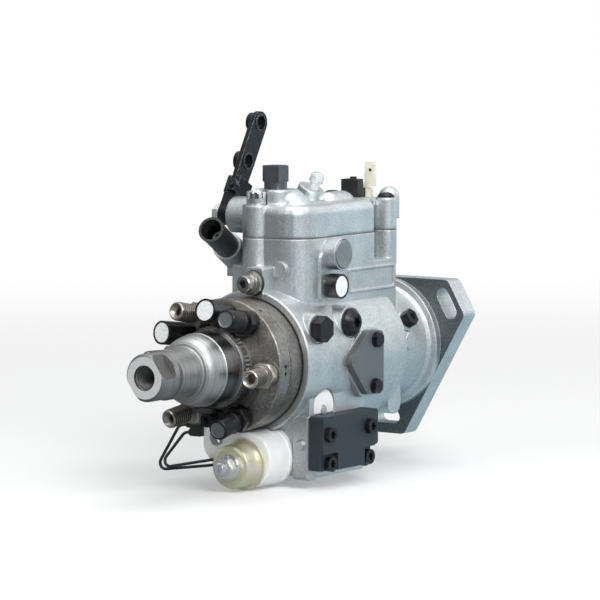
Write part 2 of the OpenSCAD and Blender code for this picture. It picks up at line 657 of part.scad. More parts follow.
module lock_clip() color([0.45, 0.45, 0.44]) difference() {
  union() {
    // Curved bar between two fittings
    slab_y(y_head + 3, 5.4) intersection() {
      difference() {
        circle(clip_r - 1.3);
        circle(clip_r - 3.8);
      }
      polygon([[0, 0], 60 * [cos(24), -sin(24)], 60 * [cos(49), -sin(49)]]);
    }
    // Plate under the screw head, with its claw in front of the toothed ring
    rotate([0, 95, 0]) translate([clip_r, 0, 0])
      translate([-5, y_head - 3.3, -4.6]) cube([9.4, 6, 9.2]);
    box([-8.4, y_head - 13, 4.8 - clip_r], [-7, y_head, -base_r - 0.8]);
    box([-8.4, y_head - 13, 4.8 - clip_r], [2.6, y_head - 8.2, -base_r - 0.4]);
  }
  rotate([0, 95, 0]) translate([clip_r, 0, 0]) cy(2.2, y_head - 5, y_head + 6);
  head_body();
  cy(25.4, y_head - 9, y_head + 4);
}

module fitting(cap = false) difference() {
  union() {
    cylinder(r1 = thread_r - 1, r2 = thread_r, h = 1);
    cz(thread_r, 1, 16.2);
    cz(thread_r - 0.7, 16, fit_span - 9);
    translate([0, 0, fit_span - 9.2]) hex_z(fit_af, 6.6);
    translate([0, 0, fit_span - 2.8]) cylinder(r1 = 7.6, r2 = 7, h = 2.8);
    cz(4.9, fit_span - 0.2, fit_span + 7);
  }
  translate([0, 0, -eps]) cylinder(r1 = 4.4, r2 = 2.2, h = 4);
  cz(2.2, 0, fit_span);
  cz(1.5, fit_span - 1, fit_span + 8);
}

module fittings_plain() color(bright) for (k = plain_at)
  flared(fit_th(k), tip_r, y_tip) fitting();
module fittings_dark() color(black) for (k = dark_at)
  flared(fit_th(k), tip_r, y_tip) fitting();

cap_r = thread_r + 0.5;
module fitting_caps() color(black) for (k = dark_at) flared(fit_th(k), tip_r, y_tip)
  difference() {
    union() {
      translate([0, 0, -2.2]) cylinder(r1 = cap_r - 1, r2 = cap_r, h = 1);
      cz(cap_r, -1.2, 13.4);
      cz(7.3, 13, 14.6);
    }
    cz(thread_r + gap / 3, -eps, 20);
  }

module sleeve_shape(r, h, bore) difference() {
  cz(r, 0, h);
  cz(r - 1.2, -over, 1);
  cz(bore, 4, h + over);
}
module sleeve_caps() color(black) {
  for (a = sleeve_at) flared(a, sleeve_tip_r, sleeve_tip_y) sleeve_shape(sleeve_r, sleeve_span, 5.4);
  translate([ssleeve_x1, ssleeve_at.x, ssleeve_at.y]) rotate([0, -90, 0])
    sleeve_shape(ssleeve_r, ssleeve_x1 - side_x - 3, 4.6);
}
module seal_discs() color(bright) {
  for (a = sleeve_at) flared(a, sleeve_tip_r, sleeve_tip_y) cz(sleeve_r - 1.3, 0.2, 1);
  translate([0, ssleeve_at.x, ssleeve_at.y]) cx(ssleeve_r - 1.3, ssleeve_x1 - 1, ssleeve_x1 - 0.2);
}

module socket_plug() color(bright) translate([plug_at.x, boss_y, plug_at.y]) difference() {
  rev([[0, -13], [4.6, -13], [5.3, -12.3], [5.3, -7.8], [6.3, -7.4], [6.3, -5.4],
    [7.6, -5], [7.6, -2.8], [5.4, -2.7], [5.4, 0], [3.9, 0], [3.9, 12], [0, 12]]);
  hex_y(5, -14, -7.6);
}

module drive_shaft() color(bright) {
  difference() {
    rev([[0, ret_y + 4.2], [shaft_r, ret_y + 4.2], [shaft_r, 6], [shaft_r - 0.6, pilot_h + 1],
      [shaft_r - 3.2, shaft_out - 20], [7.2, shaft_out - 19.6], [7.2, shaft_out - 5.6],
      [6.5, shaft_out - 5.5], [6.5, shaft_out - 4.5], [7.2, shaft_out - 4.4],
      [7.2, shaft_out - 1], [6.4, shaft_out], [0, shaft_out]]);
    translate([-2.5, 14, shaft_r - 4]) cube([5, 14, 8]);
  }
  box([-4, ret_y - 7, -12], [4, ret_y + 4.3, 12]);
}

module shaft_key() color(steel) translate([-2.45, 14, shaft_r - 4]) cube([4.9, 14, 4.6]);

module shaft_nut() color(steel) difference() {
  union() {
    cy(11.5, shaft_out - 19, shaft_out - 16.6);
    hex_y(19, shaft_out - 16.6, shaft_out - 5);
  }
  cy(7.2 + fit, shaft_out - 20, shaft_out);
}

module shaft_seal() color(black) for (s = [0, 1]) translate([0, -15 + 7 * s, 0]) difference() {
  cy(shaft_r + 4 - fit, -5.4, 0.8);
  cy(shaft_r + fit, -6, 2);
  rev([[shaft_r + 0.6, -6], [shaft_r + 3, -6], [shaft_r + 3, -2], [shaft_r + 1.4, -2]]);
}

module shaft_bearing() color([0.66, 0.52, 0.30]) difference() {
  cy(shaft_r + 4 - fit, y_wall + 1.5, -23);
  cy(shaft_r + fit, y_wall, -22);
}

module weight_retainer() color(steel) difference() {
  union() {
    cy(31, ret_y + 0.3, ret_y + 3.6);
    for (k = [0 : weight_n - 1]) rotate([0, -45 - 90 * k, 0])
      box([16.6, ret_y + 3, -2.2], [31, ret_y + 25, 2.2]);
  }
  cy(shaft_r + fit, ret_y - 1, ret_y + 5);
  box([-4 - fit, ret_y - 1, -12.2], [4 + fit, ret_y + 5, 12.2]);
}

// One flyweight: heel at the retainer, toe towards the sleeve
module weight() color(steel) difference() {
  union() {
    intersection() {
      difference() {
        cy(w_pivot_r, w_pivot_y, w_pivot_y + 20);
        cy(17.2, ret_y, ret_y + 30);
      }
      slab_y(ret_y + 30, 30) polygon([[0, 0], [40, -30], [40, 30]]);
    }
    box([w_pivot_r - 13.9, w_pivot_y, -7], [19, w_pivot_y + 3.5, 7]);
  }
  rotate([0, 45, 0]) box([0, ret_y, -3.4], [40, ret_y + 30, 3.4]);
  rotate([0, -45, 0]) box([0, ret_y, -3.4], [40, ret_y + 30, 3.4]);
}
module weight_a() rotate([0, 0, 0]) weight();
module weight_b() rotate([0, -90, 0]) weight();
module weight_c() rotate([0, -180, 0]) weight();
module weight_d() rotate([0, -270, 0]) weight();

module thrust_sleeve() color(steel) difference() {
  union() {
    cy(15.4, sleeve_y, sleeve_y + 2.6);
    cy(13.4, sleeve_y, sleeve_y + sleeve_len);
    cy(17.4, sleeve_y + sleeve_len - 3, sleeve_y + sleeve_len);
  }
  cy(shaft_r + fit, sleeve_y - 1, sleeve_y + sleeve_len + 1);
}

module governor_arm() color([0.55, 0.56, 0.58]) difference() {
  union() {
    for (s = [-1, 1]) translate([s * 15.2, 0, 0])
      box([-2.4, arm_y, 0], [2.4, arm_y + arm_t, arm_z]);
    box([-17.6, arm_y, 17], [17.6, arm_y + arm_t, arm_z + 8]);
    box([spring_x - 4, arm_y, arm_z], [9.5, arm_y + arm_t, hook_z + 9]);
    for (s = [-1, 1]) translate([s * 15, arm_y + arm_t / 2, arm_z]) cx(4.4, -2.4, 2.4);
    // Stud that carries the governor spring
    translate([spring_x, 0, hook_z + 3]) cy(1.6, arm_y - 14, arm_y + 1);
  }
  translate([0, arm_y + arm_t / 2, arm_z]) cx(pivot_r + fit, -20, 20);
  translate([0, arm_y - 1, 0]) box([-12.8, 0, -1], [12.8, 8, 20]);
}

module linkage_hook() color([0.55, 0.56, 0.58]) difference() {
  union() {
    box([hook_x, valve_pin.y - 3, hook_z], [hook_x + 2.6, arm_y - 0.4, hook_z + 2]);
    box([valve_pin.x - 3, valve_pin.y - 3, hook_z - 2.6],
      [hook_x + 2.6, valve_pin.y + 3, hook_z + 1]);
  }
  translate([valve_pin.x, valve_pin.y]) cz(1.5, hook_z - 3, hook_z - 0.1);
}

module arm_pivot() color(bright) translate([0, arm_y + arm_t / 2, arm_z]) cx(pivot_r, -28.6, 28.6);

module governor_spring() color(bright) translate([spring_x, 0, hook_z + 3]) {
  for (k = [0 : 5]) translate([0, arm_y - 2 - 2 * k, 0]) rotate([90, 0, 0])
    rotate_extrude() translate([2.5, 0]) circle(0.75, $fn = 16);
  difference() {
    cy(3.4, arm_y - 15, arm_y - 12.9);
    cy(1.6 + eps, arm_y - 16, arm_y);
  }
}

module metering_valve() color(bright) translate([valve_at.x, valve_at.y, 0]) {
  cz(valve_r, 14.4, 42);
  cz(2, 41.9, hook_z - 4);
  rotate(valve_lead) {
    box([0, -2, hook_z - 7], [11.5, 2, hook_z - 4]);
    translate([9.9, 0, 0]) cz(1.2, hook_z - 4.1, hook_z - 0.3);
  }
}

module throttle_shaft() color(bright) translate([0, -throttle_y, throttle_z]) {
  cx(throttle_r, lever_x - 6.4, 14);
  difference() {
    union() {
      box([spring_x - 1.5, -4.4, -16], [spring_x + 1.5, 4.4, 0]);
      cx(5.4, spring_x - 4, spring_x + 4);
    }
    cx(throttle_r, spring_x - 9, spring_x + 9);
  }
  box([spring_x - 1.5, -2.2, -19], [spring_x + 1.5, 2.2, -15.9]);
}

// Lever frame: origin on the throttle shaft, local Z up the lever
module on_lever() translate([0, -throttle_y, throttle_z]) rotate([-lever_lean, 0, 0]) children();
lever_x = gov_x0 - 20.6;

module throttle_lever() color(black) on_lever() difference() {
  slab_x(lever_x, lever_t) union() {
    polygon([[-6.4, 13], [6.4, 13], [lever_end_r, bush_1], [lever_end_r, bush_2],
      [-lever_end_r, bush_2], [-lever_end_r, bush_1]]);
    translate([0, bush_2]) circle(lever_end_r);
  }
  for (b = [bush_1, bush_2]) translate([0, 0, b]) cx(bush_bore + 1.2, lever_x - over, lever_x + 6);
}

module lever_bushes() color(black) on_lever() for (b = [bush_1, bush_2]) translate([0, 0, b])
  difference() {
    union() {
      cx(bush_bore + 1.2, lever_x - 1, lever_x + lever_t + 0.6);
      cx(bush_bore + 1.9, lever_x - 4.2, lever_x);
    }
    cx(bush_bore, lever_x - 6, lever_x + 6);
  }

module lever_clamp() color(black) on_lever() difference() {
  union() {
    cx(7, lever_x - 2.4, gov_x0 - 13.3);
    box([lever_x - 2.4, -6.6, 0], [gov_x0 - 13.3, 6.6, 13]);
    box([lever_x - 2.6, -7.4, 12.8], [gov_x0 - 13.4, 7.4, 24.5]);
    // Pinch screw head and nut
    translate([lever_x + 4.6, 0, 16.6]) hex_y(7.6, -11, -7.3);
    translate([lever_x + 4.6, 0, 16.6]) cy(2, -13, -10.9);
  }
  cx(throttle_r + eps, lever_x - 8, gov_x0 - 5);
  box([lever_x - eps, -9, 12.9], [lever_x + lever_t + eps, 9, 26]);
}

module lever_nut() color(bright) translate([0, -throttle_y, throttle_z]) difference() {
  union() {
    hex_x(12, lever_x - 7.4, lever_x - 3.2);
    cx(7.2, lever_x - 3.3, lever_x - 2.4);
  }
  cx(throttle_r + eps, lever_x - 9, lever_x);
}

vent_at = [-6.4 + 13.4 * sin(vent_lean), -99, cover_z - 4 + 13.4 * cos(vent_lean)];
module vent_cap() color([0.95, 0.96, 0.97]) translate([vent_at.x, vent_at.y, vent_at.z])
  rotate([0, vent_lean, 0]) translate([2, 0, 0]) {
    cz(3.4, 0, 1.5);
    translate([0, 0, 1.5]) cylinder(r = 4.6, h = 3.6, $fn = 8);
    translate([0, 0, 5.1]) cylinder(r1 = 4.2, r2 = 2, h = 2);
  }

module return_connector() color(black) translate([-3, -136, cover_z + seat_h]) difference() {
  union() {
    cz(7.3, 0, 4.8);
    translate([0, 0, 4.8]) rotate(18) hex_z(15, 10.2);
    cz(2.8, -6, eps);
  }
  cz(3.4, 6.4, 20);
  cz(1.4, -7, 8);
}

module terminal_block() color(black) difference() {
  union() {
    box([-4.6, -60, cover_z], [8.4, -51, cover_z + 11.6]);
    translate([2, -55.5, cover_z + 11.5]) cz(2.2, 0, 1.6);
  }
  box([6, -53.6, cover_z + 6], [9, -50.5, cover_z + 13]);
}

module spade_terminal() color([0.93, 0.91, 0.78]) {
  box([1, -50.9, cover_z], [11.4, -46.4, cover_z + 5]);
  difference() {
    slab_y(-48.6, 0.8) polygon([[2.6, cover_z + 4.9], [11.2, cover_z + 4.9],
      [15.2, cover_z + 7.6], [15.2, cover_z + 22], [14.4, cover_z + 22.8],
      [7.4, cover_z + 22.8], [6.6, cover_z + 22], [6.6, cover_z + 9.4]]);
    translate([10.9, 0, cover_z + 17.4]) cy(1.1, -51, -47);
  }
}

module side_plug() color([0.42, 0.43, 0.44]) translate([0, disc_at.x, disc_at.y]) {
  cx(disc_r - 0.05, disc_boss_x - 2.5, disc_boss_x - 0.6);
  translate([disc_boss_x - 0.6, 0, 0]) rotate([0, 90, 0])
    cylinder(r1 = disc_r - 0.05, r2 = disc_r - 0.6, h = 1.2);
}

module timing_cover() color([0.28, 0.30, 0.32]) slab_x(pad_x + tim_gasket, tim_t) difference() {
  polygon(rpoly(tim_pts, [4.5, 4.5, 4, 4.5, 4.5], 4));
  for (p = tim_scr) translate(p) circle(2.7);
}

module timing_screws() color(black) for (p = tim_scr)
  translate([pad_x + tim_gasket + tim_t, p.x, p.y]) {
    cx(2.4, -12, eps);
    cx(4.9, 0, 0.9);
    hex_x(8, 0.9, 3.6);
  }

module side_bolts() color(black) {
  // Pivot bolt with a plain hexagon
  translate([bolt_seat, pivot_at.x, pivot_at.y]) {
    cx(3.9, -6, eps);
    hex_x(14.4, 0, 7.4);
  }
  // Access plug with a domed head
  translate([bolt_seat, access_at.x, access_at.y]) difference() {
    union() {
      cx(4.9, -8, eps);
      cx(9, 0, 2.2);
      translate([2.2, 0, 0]) rotate([0, 90, 0]) cylinder(r1 = 8.8, r2 = 7.2, h = 2);
      translate([4.2, 0, 0]) rotate([0, 90, 0]) cylinder(r1 = 7.2, r2 = 5.4, h = 1.6);
    }
    translate([2.8, 0, 0]) rotate([90, 0, 90]) torx(4.4, 5);
  }
  // Nut and stud on the neck
  rotate([0, -nut_a, 0]) translate([neck_r + 0.4, nut_y, 0]) difference() {
    union() {
      cx(3.4, -7, 5);
      hex_x(10, 0, 6);
    }
    cx(2.4, 5, 9);
  }
}

module advance_piston() color(steel) translate([piston_x0, -adv_y, -adv_z]) difference() {
  cx(adv_r - fit, 0, piston_len);
  // Slot of the cam pin, wider above where the pin swings more
  translate([-piston_x0, 0, 0]) {
    box([-5.5, -pin_r + 0.1, -7], [5.5, pin_r - 0.1, 14]);
    box([-7.5, -pin_r + 0.1, 4], [7.5, pin_r - 0.1, 14]);
  }
  cx(6.4, piston_len - 9, piston_len + 1);
  cx(7, -1, 4);
}

module advance_spring() color(bright) translate([0, -adv_y, -adv_z])
  for (k = [0 : 3]) translate([piston_x0 + piston_len + 1.8 + 2.7 * k, 0, 0]) rotate([0, 90, 0])
    rotate_extrude() translate([8, 0]) circle(1.3, $fn = 16);

module advance_cover() color(black) difference() {
  union() {
    slab_x(adv_x1, adv_cover_t) polygon(rpoly([[-adv_front - 0.6, -67], [-adv_front - 0.6, -32.4],
      [-99.4, -32.4], [-99.4, -55], [-104, -55], [-104, -67]], [1.5, 2, 2, 1.5, 3, 2], 3));
    // Pads of the two lower screws
    translate([0, adv_scr[3].x, adv_scr[3].y]) cx(6.2, adv_x1, adv_x1 + adv_cover_t - 3);
  }
  // Lower corners stepped down for the screw heads
  box([adv_x1 + adv_cover_t - 3, -170, -70], [60, adv_scr[2].x + 6.4, -56]);
  box([adv_x1 + adv_cover_t - 3, adv_scr[3].x - 6, -70], [60, -95, -56]);
  for (p = adv_scr) translate([0, p.x, p.y]) cx(2.7, adv_x1 - over, 60);
}

module advance_screws() color(black) for (k = [0 : 3])
  translate([adv_x1 + adv_cover_t - (k > 1 ? 3 : 0), adv_scr[k].x, adv_scr[k].y]) difference() {
    union() {
      cx(2.4, -19, eps);
      cx(4.8, 0, 3.6);
    }
    translate([1.4, 0, 0]) rotate([90, 0, 90]) torx(3.2, 4);
  }

module nylon_tag() color([0.95, 0.95, 0.94]) translate([0, tag_at.x, tag_at.y]) difference() {
  cx(11, adv_x1 - 2.2, adv_x1 - 0.4);
  translate([0, 0, -2.3]) cx(3.3, adv_x1 - 4, adv_x1 + 4);
  box([adv_x1 - 4, -20, -20], [adv_x1 + 4, 20, -3.9]);
}

module actuator_body() color([0.93, 0.93, 0.91]) difference() {
  union() {
    translate([act_at.x, 0, act_at.y]) rev([[0, act_front], [17.2, act_front],
      [17.8, act_front + 0.6], [18.3, act_y - 4.6], [act_r, act_y - 4.2], [act_r, act_y], [0, act_y]]);
    // Side lug with the plug hole
    slab_y(act_y - 9, 7) translate([0, lug_z]) polygon(rpoly([[-30.5, 0], [-30.5, -19.6],
      [-15, -36.6], [10, -39.6], [10, -6.6], [0, -6.8], [-10, -6], [-19, -2.8]],
      [4, 8, 12, 2, 0, 2, 2, 2], 5));
  }
  translate([-20.6, 0, lug_z - 11.2]) cy(5.4, act_y - 20, act_y);
  for (p = [lead_a, lead_b]) let(e = p[len(p) - 1])
    translate([e.x, 0, e.z]) cy(wire_r + 0.05, act_y - 17, e.y);
  // Relief round the head and the barrel
  cy(head_r + 1, y_face - 20, y_face);
  cy(barrel_r + 0.4, y_face - 0.6, act_y + over);
  translate([cup_at.x, 0, cup_at.y]) cy(4, act_front - over, act_front + 12);
}

module actuator_cup() color([0.80, 0.74, 0.50]) translate([cup_at.x, 0, cup_at.y]) difference() {
  rev([[0, act_front - cup_len], [cup_r - 2.4, act_front - cup_len],
    [cup_r - 0.7, act_front - cup_len + 0.7], [cup_r, act_front - cup_len + 2.4],
    [cup_r, act_front - 3.4], [cup_r + 0.6, act_front - 2], [cup_r + 2.3, act_front - 1.6],
    [cup_r + 2.3, act_front], [0, act_front]]);
  cy(4, act_front - cup_len - over, act_front + over);
}

module actuator_nut() color(bright) translate([cup_at.x, act_front - cup_len, cup_at.y])
  difference() {
    union() {
      cy(3.8, -11.4, 24);
      cy(8.2, -1.4, 0);
      translate([0, -1.4, 0]) rotate([90, 0, 0]) cylinder(r1 = 8, r2 = 6.9, h = 1.2);
      hex_y(12.6, -8, -2.4);
    }
    box([-0.6, -12, -6], [0.6, -9.6, 6]);
  }

// Lead wires: two round leads from the black plug round to the actuator body
wire_r = 1;
wire_bend = 4.2;
lead_a = [[-42.7, -177.8, -41.8], [-47.2, -179.4, -42.2], [-61.2, -186.4, -71.2],
  [-21.4, -181.4, -65.8], [-21.4, -173.4, -65.8]];
lead_b = [[-41, -178.05, -46.4], [-43.4, -179.5, -47], [-57.2, -189.8, -69.6],
  [-20.6, -182.4, -62.2], [-20.6, -173.4, -62.2]];
// Route with each corner rounded by an arc
function arc_at(a, b, c, r, n) =
  let(u = unit(a - b), v = unit(c - b), h = acos(u * v) / 2,
      m = b + unit(u + v) * (r / sin(h)), s = unit(b + u * (r / tan(h)) - m),
      e = unit(b + v * (r / tan(h)) - m), w = unit(e - s * (e * s)))
  [for (k = [0 : n]) m + r * (cos((180 - 2 * h) * k / n) * s + sin((180 - 2 * h) * k / n) * w)];
function bent(p, r) = concat([p[0]],
  [for (i = [1 : len(p) - 2]) each arc_at(p[i - 1], p[i], p[i + 1], r, 6)], [p[len(p) - 1]]);
function side_of(t) = unit(cross(t, [0, 1, 0.1]));
function ring(p, t, r, n) = let(u = side_of(t), v = cross(t, u))
  [for (k = [0 : n - 1]) p + r * (cos(360 / n * k) * u + sin(360 / n * k) * v)];
function tan_at(p, i) = unit(p[min(i + 1, len(p) - 1)] - p[max(i - 1, 0)]);
module sweep(p, r, n) polyhedron(
  points = [for (i = [0 : len(p) - 1]) each ring(p[i], tan_at(p, i), r, n)],
  faces = concat([[for (k = [0 : n - 1]) k]],
    [[for (k = [n - 1 : -1 : 0]) (len(p) - 1) * n + k]],
    [for (i = [0 : len(p) - 2], k = [0 : n - 1])
      [i * n + k, (i + 1) * n + k, (i + 1) * n + (k + 1) % n, i * n + (k + 1) % n]]));
module lead_wires() color(black) {
  // Plug of the leads on the edge of the actuator's lug
  box([-39, act_y - 20, lug_z - 11.2], [-30.5, act_y - 9.6, lug_z - 2.8]);
  translate([-38.9, act_y - 16.4, lug_z - 4.4]) rotate([0, -90, 20]) cylinder(r1 = 2.1, r2 = 1.7, h = 4);
  translate([-38.9, act_y - 16.8, lug_z - 9]) rotate([0, -90, 30]) cylinder(r1 = 2.1, r2 = 1.7, h = 2.4);
  for (p = [lead_a, lead_b]) sweep(bent(p, wire_bend), wire_r, 8);
}

tube_at = [gov_x0 - 9, -139, 67.2];
module on_tube() translate(tube_at) rotate([0, 0, 15]) rotate([66, 0, 0]) children();
module return_tube() color(black) on_tube()
  difference() {
    union() {
      cz(7.9, 8, 38);
      cz(8.3, 36.4, 38.2);
    }
    cz(6.7, 16, 40);
    cz(4, 6, 20);
  }

housing();
governor_cover();
gaskets();
cover_screws();
hydraulic_head();
seal_rings();
head_screw();
rotor();
plungers();
cam_ring();
transfer_liner();
transfer_blades();
end_cap();
lock_ring();
lock_clip();
fittings_plain();
fittings_dark();
fitting_caps();
sleeve_caps();
seal_discs();
socket_plug();
drive_shaft();
shaft_key();
shaft_nut();
shaft_seal();
shaft_bearing();
weight_retainer();
weight_a();
weight_b();
weight_c();
weight_d();
thrust_sleeve();
governor_arm();
linkage_hook();
arm_pivot();
governor_spring();
metering_valve();
throttle_shaft();
throttle_lever();
lever_bushes();
lever_clamp();
lever_nut();
vent_cap();
return_connector();
terminal_block();
spade_terminal();
side_plug();
timing_cover();
timing_screws();
side_bolts();
advance_piston();
advance_spring();
advance_cover();
advance_screws();
nylon_tag();
actuator_body();
actuator_cup();
actuator_nut();
lead_wires();
return_tube();
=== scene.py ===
"""Looks of the rotary distributor injection pump.

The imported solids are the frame. This script gives each of them its finish, models the
small pieces that the solids only stand in for, such as threads, nuts, caps and lead
wires, and sets the camera, the floor and the lamps.
"""

import json
import logging
import math
from dataclasses import dataclass
from enum import Enum
from typing import Callable, Iterable, Sequence

import bpy
from mathutils import Matrix, Vector

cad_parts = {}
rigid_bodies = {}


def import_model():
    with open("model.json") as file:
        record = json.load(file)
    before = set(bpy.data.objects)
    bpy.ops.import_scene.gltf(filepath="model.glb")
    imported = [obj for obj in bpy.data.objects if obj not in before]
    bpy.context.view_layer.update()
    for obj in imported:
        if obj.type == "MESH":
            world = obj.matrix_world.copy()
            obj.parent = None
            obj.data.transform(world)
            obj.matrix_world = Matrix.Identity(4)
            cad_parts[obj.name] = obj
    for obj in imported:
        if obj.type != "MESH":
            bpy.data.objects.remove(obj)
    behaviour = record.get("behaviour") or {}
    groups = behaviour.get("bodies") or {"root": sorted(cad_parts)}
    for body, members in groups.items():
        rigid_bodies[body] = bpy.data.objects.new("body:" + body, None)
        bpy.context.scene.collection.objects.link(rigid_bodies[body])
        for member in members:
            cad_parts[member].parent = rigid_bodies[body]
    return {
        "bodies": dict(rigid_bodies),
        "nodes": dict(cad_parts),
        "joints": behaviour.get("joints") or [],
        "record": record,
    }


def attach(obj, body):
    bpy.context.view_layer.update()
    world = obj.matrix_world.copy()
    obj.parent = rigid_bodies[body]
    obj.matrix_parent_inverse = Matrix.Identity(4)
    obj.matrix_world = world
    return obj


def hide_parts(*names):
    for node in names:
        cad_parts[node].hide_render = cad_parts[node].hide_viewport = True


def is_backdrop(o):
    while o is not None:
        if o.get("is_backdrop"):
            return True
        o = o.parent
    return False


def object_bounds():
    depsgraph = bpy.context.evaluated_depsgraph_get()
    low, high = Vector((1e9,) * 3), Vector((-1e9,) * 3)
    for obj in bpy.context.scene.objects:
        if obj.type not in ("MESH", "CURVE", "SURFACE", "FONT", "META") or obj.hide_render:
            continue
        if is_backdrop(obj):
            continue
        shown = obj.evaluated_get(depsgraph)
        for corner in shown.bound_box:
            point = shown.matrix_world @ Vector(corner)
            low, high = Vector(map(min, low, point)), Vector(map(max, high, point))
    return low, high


LOG = logging.getLogger("pump")
MM = 0.001
HEX_HALF = math.radians(30)
EDGE_ANGLE = math.radians(32)
SMOOTH_ANGLE = math.radians(35)
BEVEL_SAMPLES = 6
EDGE_WEAR_HIGHLIGHT_LEAN = (0.03, 0.22)

Colour = tuple[float, float, float]
Point = tuple[float, float, float]


class Sock:
    """A node socket that takes part in written-out arithmetic."""

    def __init__(self, graph: "Graph", socket: bpy.types.NodeSocket) -> None:
        """Keeps the socket and the graph that it belongs to.

        Args:
            graph: The node graph that new Math nodes go into.
            socket: An output socket that carries a number.
        """
        self.graph = graph
        self.socket = socket

    def _math(self, operation: str, *values: object) -> "Sock":
        """Adds one Math node.

        Args:
            operation: The node's operation.
            *values: Its inputs, numbers or sockets.

        Returns:
            The node's output.
        """
        node = self.graph.node(
            "ShaderNodeMath", {"operation": operation}, dict(enumerate(values))
        )
        return Sock(self.graph, node.outputs[0])

    def __add__(self, other: object) -> "Sock":
        """Sum."""
        return self._math("ADD", self, other)

    def __radd__(self, other: object) -> "Sock":
        """Sum, the number first."""
        return self._math("ADD", other, self)

    def __sub__(self, other: object) -> "Sock":
        """Difference."""
        return self._math("SUBTRACT", self, other)

    def __rsub__(self, other: object) -> "Sock":
        """Difference, the number first."""
        return self._math("SUBTRACT", other, self)

    def __mul__(self, other: object) -> "Sock":
        """Product."""
        return self._math("MULTIPLY", self, other)

    def __rmul__(self, other: object) -> "Sock":
        """Product, the number first."""
        return self._math("MULTIPLY", other, self)

    def __truediv__(self, other: object) -> "Sock":
        """Quotient."""
        return self._math("DIVIDE", self, other)

    def __pow__(self, other: object) -> "Sock":
        """Power."""
        return self._math("POWER", self, other)

    def __gt__(self, other: object) -> "Sock":
        """1 where this is the greater, else 0."""
        return self._math("GREATER_THAN", self, other)

    def __lt__(self, other: object) -> "Sock":
        """1 where this is the smaller, else 0."""
        return self._math("LESS_THAN", self, other)

    def root(self) -> "Sock":
        """Square root."""
        return self._math("SQRT", self)

    def bearing(self, other: object) -> "Sock":
        """Angle of the point with this as Y and the other as X, in radians."""
        return self._math("ARCTAN2", self, other)

    def ramp(self, low: float, high: float) -> "Sock":
        """Runs smoothly from 0 at low to 1 at high.

        Args:
            low: The value that gives 0.
            high: The value that gives 1.

        Returns:
            The eased value.
        """
        node = self.graph.node(
            "ShaderNodeMapRange",
            {"interpolation_type": "SMOOTHSTEP"},
            {"Value": self, "From Min": low, "From Max": high},
        )
        return Sock(self.graph, node.outputs["Result"])


